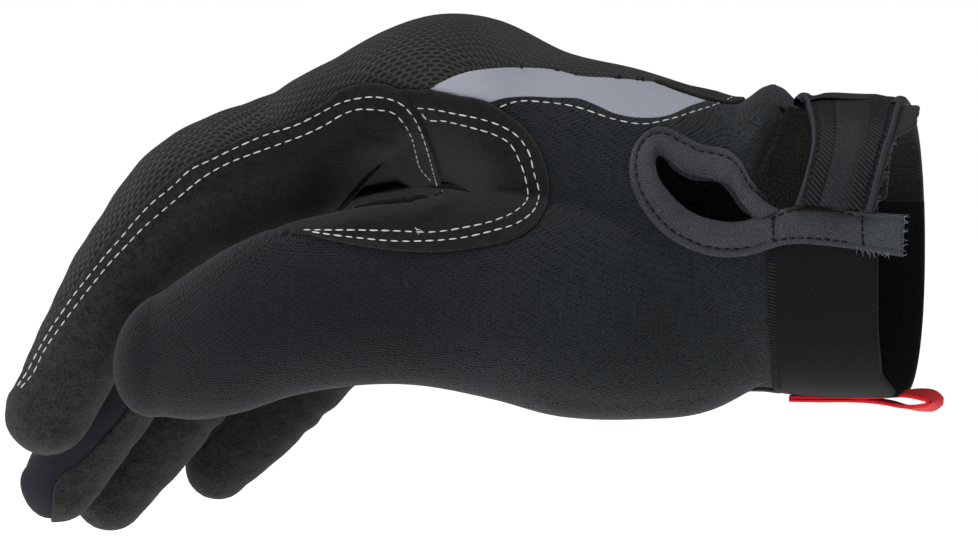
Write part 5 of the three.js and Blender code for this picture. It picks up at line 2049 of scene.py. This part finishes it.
def loose_threads(name, starts, reach, thickness, thread, seed):
    """Short curled threads of nine rings of three points. starts holds (place, way) pairs in millimetres."""
    rng = np.random.default_rng(seed)
    every = []
    faces = []
    for place, way in starts:
        sway = rng.normal(0, 0.55, (3, 3))
        length = reach * rng.uniform(0.5, 1.15)
        stops = [place]
        for k in range(3):
            step = way + sway[k]
            stops.append(stops[-1] + step / np.linalg.norm(step) * length / 3)
        line = smooth_rows(np.arange(4), np.array(stops), np.linspace(0, 3, 9))
        ahead = np.gradient(line, axis=0)
        ahead /= np.linalg.norm(ahead, axis=1)[:, None]
        side = np.cross(ahead, [0.3, 0.8, 0.52])
        side /= np.linalg.norm(side, axis=1)[:, None]
        other = np.cross(ahead, side)
        start = len(every)
        for p, s, o, share in zip(line, side, other, np.linspace(0, 1, 9)):
            half = thickness / 2 * (1 - 0.5 * share)
            for turn in np.radians([90, 210, 330]):
                every.append(p + half * (math.cos(turn) * s + math.sin(turn) * o))
        for k in range(8):
            for i in range(3):
                a = start + 3 * k + i
                b = start + 3 * k + (i + 1) % 3
                faces += [(a, b, b + 3), (a, b + 3, a + 3)]
        faces += [(start + 2, start + 1, start), (start + 24, start + 25, start + 26)]
    return finished(name, new_mesh(name, every, faces), thread)


rng = np.random.default_rng(12)
toward_arm = np.array([1.0, 0.0, 0.0])
down = np.array([0.2, -0.2, -1.0])
frays = []
for k in range(20):
    row = int(rng.integers(176, 186))
    root = binding_top[row, int(rng.integers(0, 3))] + out[row, 1] * 0.1
    frays.append((root, down + 0.8 * toward_arm * rng.uniform(-0.6, 1)))
for k in range(12):
    frays.append((binding_top[-1, int(rng.integers(1, 15))], toward_arm + 0.5 * down * rng.uniform(-1, 1)))
loose_threads("binding_frays", frays, 1.5, 0.13, FRAY_THREAD, 3)
felt_frays = []
for k in range(34):
    row = int(rng.integers(4, 84))
    felt_frays.append((strap_under[row, -1] + np.array([0.4, 0, 0]), toward_arm + rng.normal(0, 0.5, 3)))
loose_threads("strap_frays", felt_frays, 1.0, 0.1, FRAY_THREAD, 8)
# Thread ends left at the seams: root beside tip, in pixels
LOOSE_ENDS = [
    ((356, 206), (352, 222)), ((415, 228), (420, 236)), ((441, 190), (441, 198)), ((440, 192), (447, 197)),
]
ends = []
for start, stop in LOOSE_ENDS:
    a, b = cast(outside_tree, start), cast(outside_tree, stop)
    way = b[0] - a[0]
    ends.append((a[0] + a[1] * 0.15, way / np.linalg.norm(way)))
loose_threads("loose_thread_ends", ends * 2, 3.2, 0.2, PALE_THREAD, 2)

OVERLOCK_LINE = [(772, 262), (772, 300), (773, 345), (777, 388)]
brown_rows = [row_on_glove(OVERLOCK_LINE, 0.75, 200, math.radians(80))]
sew("cuff_overlock", brown_rows, 2.2, 0.34, BROWN_THREAD)

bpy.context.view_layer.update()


# Stage, light and camera

def soft_light(name, place, aim, size, power):
    """A white rectangular lamp at a place in metres, turned to an aim."""
    lamp = bpy.data.lights.new(name, "AREA")
    lamp.shape = "RECTANGLE"
    lamp.size = size[0]
    lamp.size_y = size[1]
    lamp.energy = power
    made = bpy.data.objects.new(name, lamp)
    made.location = place
    made.rotation_euler = (Vector(aim) - Vector(place)).to_track_quat("-Z", "Y").to_euler()
    bpy.context.collection.objects.link(made)


FLOOR_LEVEL = -0.16
FLOOR_HALF = 6
floor_mesh = bpy.data.meshes.new("studio_floor")
around = ((-1, -1), (1, -1), (1, 1), (-1, 1))
floor_corners = [(x * FLOOR_HALF, y * FLOOR_HALF, FLOOR_LEVEL) for x, y in around]
floor_mesh.from_pydata(floor_corners, [], [(0, 1, 2, 3)])
floor = bpy.data.objects.new("studio_floor", floor_mesh)
bpy.context.collection.objects.link(floor)
floor_paint = bpy.data.materials.new("pale_floor")
floor_paint.use_nodes = True
floor_shader = floor_paint.node_tree.nodes["Principled BSDF"]
floor_shader.inputs["Base Color"].default_value = (0.86, 0.86, 0.86, 1)
floor_shader.inputs["Roughness"].default_value = 0.9
floor_shader.inputs["Emission Color"].default_value = (1, 1, 1, 1)
floor_shader.inputs["Emission Strength"].default_value = 0.9
floor_mesh.materials.append(floor_paint)

world = bpy.data.worlds.new("studio")
bpy.context.scene.world = world
world.use_nodes = True
world.node_tree.nodes["Background"].inputs["Color"].default_value = (1, 1, 1, 1)
world.node_tree.nodes["Background"].inputs["Strength"].default_value = 0.2
backdrop = world.node_tree.nodes.new("ShaderNodeBackground")
backdrop.inputs["Color"].default_value = (1, 1, 1, 1)
backdrop.inputs["Strength"].default_value = 1.0
seen_directly = world.node_tree.nodes.new("ShaderNodeLightPath")
choice = world.node_tree.nodes.new("ShaderNodeMixShader")
world.node_tree.links.new(seen_directly.outputs["Is Camera Ray"], choice.inputs[0])
world.node_tree.links.new(world.node_tree.nodes["Background"].outputs[0], choice.inputs[1])
world.node_tree.links.new(backdrop.outputs[0], choice.inputs[2])
world.node_tree.links.new(choice.outputs[0], world.node_tree.nodes["World Output"].inputs["Surface"])

soft_light("light_top", (-0.1, -0.2, 0.9), (-0.09, 0, 0), (1.1, 0.8), 9)
soft_light("light_front", (-0.5, -1.0, 0.35), (-0.09, 0, 0), (0.8, 0.8), 4.5)
soft_light("light_fingers", (-0.8, -0.45, -0.02), (-0.18, 0, -0.03), (0.3, 0.25), 1.1)

SENSOR = 36
camera_data = bpy.data.cameras.new("photo_view")
camera_data.sensor_fit = "HORIZONTAL"
camera_data.sensor_width = SENSOR
camera_data.lens = FOCAL_PIXELS / IMAGE_WIDTH * SENSOR
camera_data.clip_end = 20
camera = bpy.data.objects.new("photo_view", camera_data)
camera.location = Vector(EYE * MM)
camera.rotation_euler = Vector(FORWARD).to_track_quat("-Z", "Y").to_euler()
bpy.context.collection.objects.link(camera)
bpy.context.scene.camera = camera
bpy.context.scene.view_settings.view_transform = "Standard"
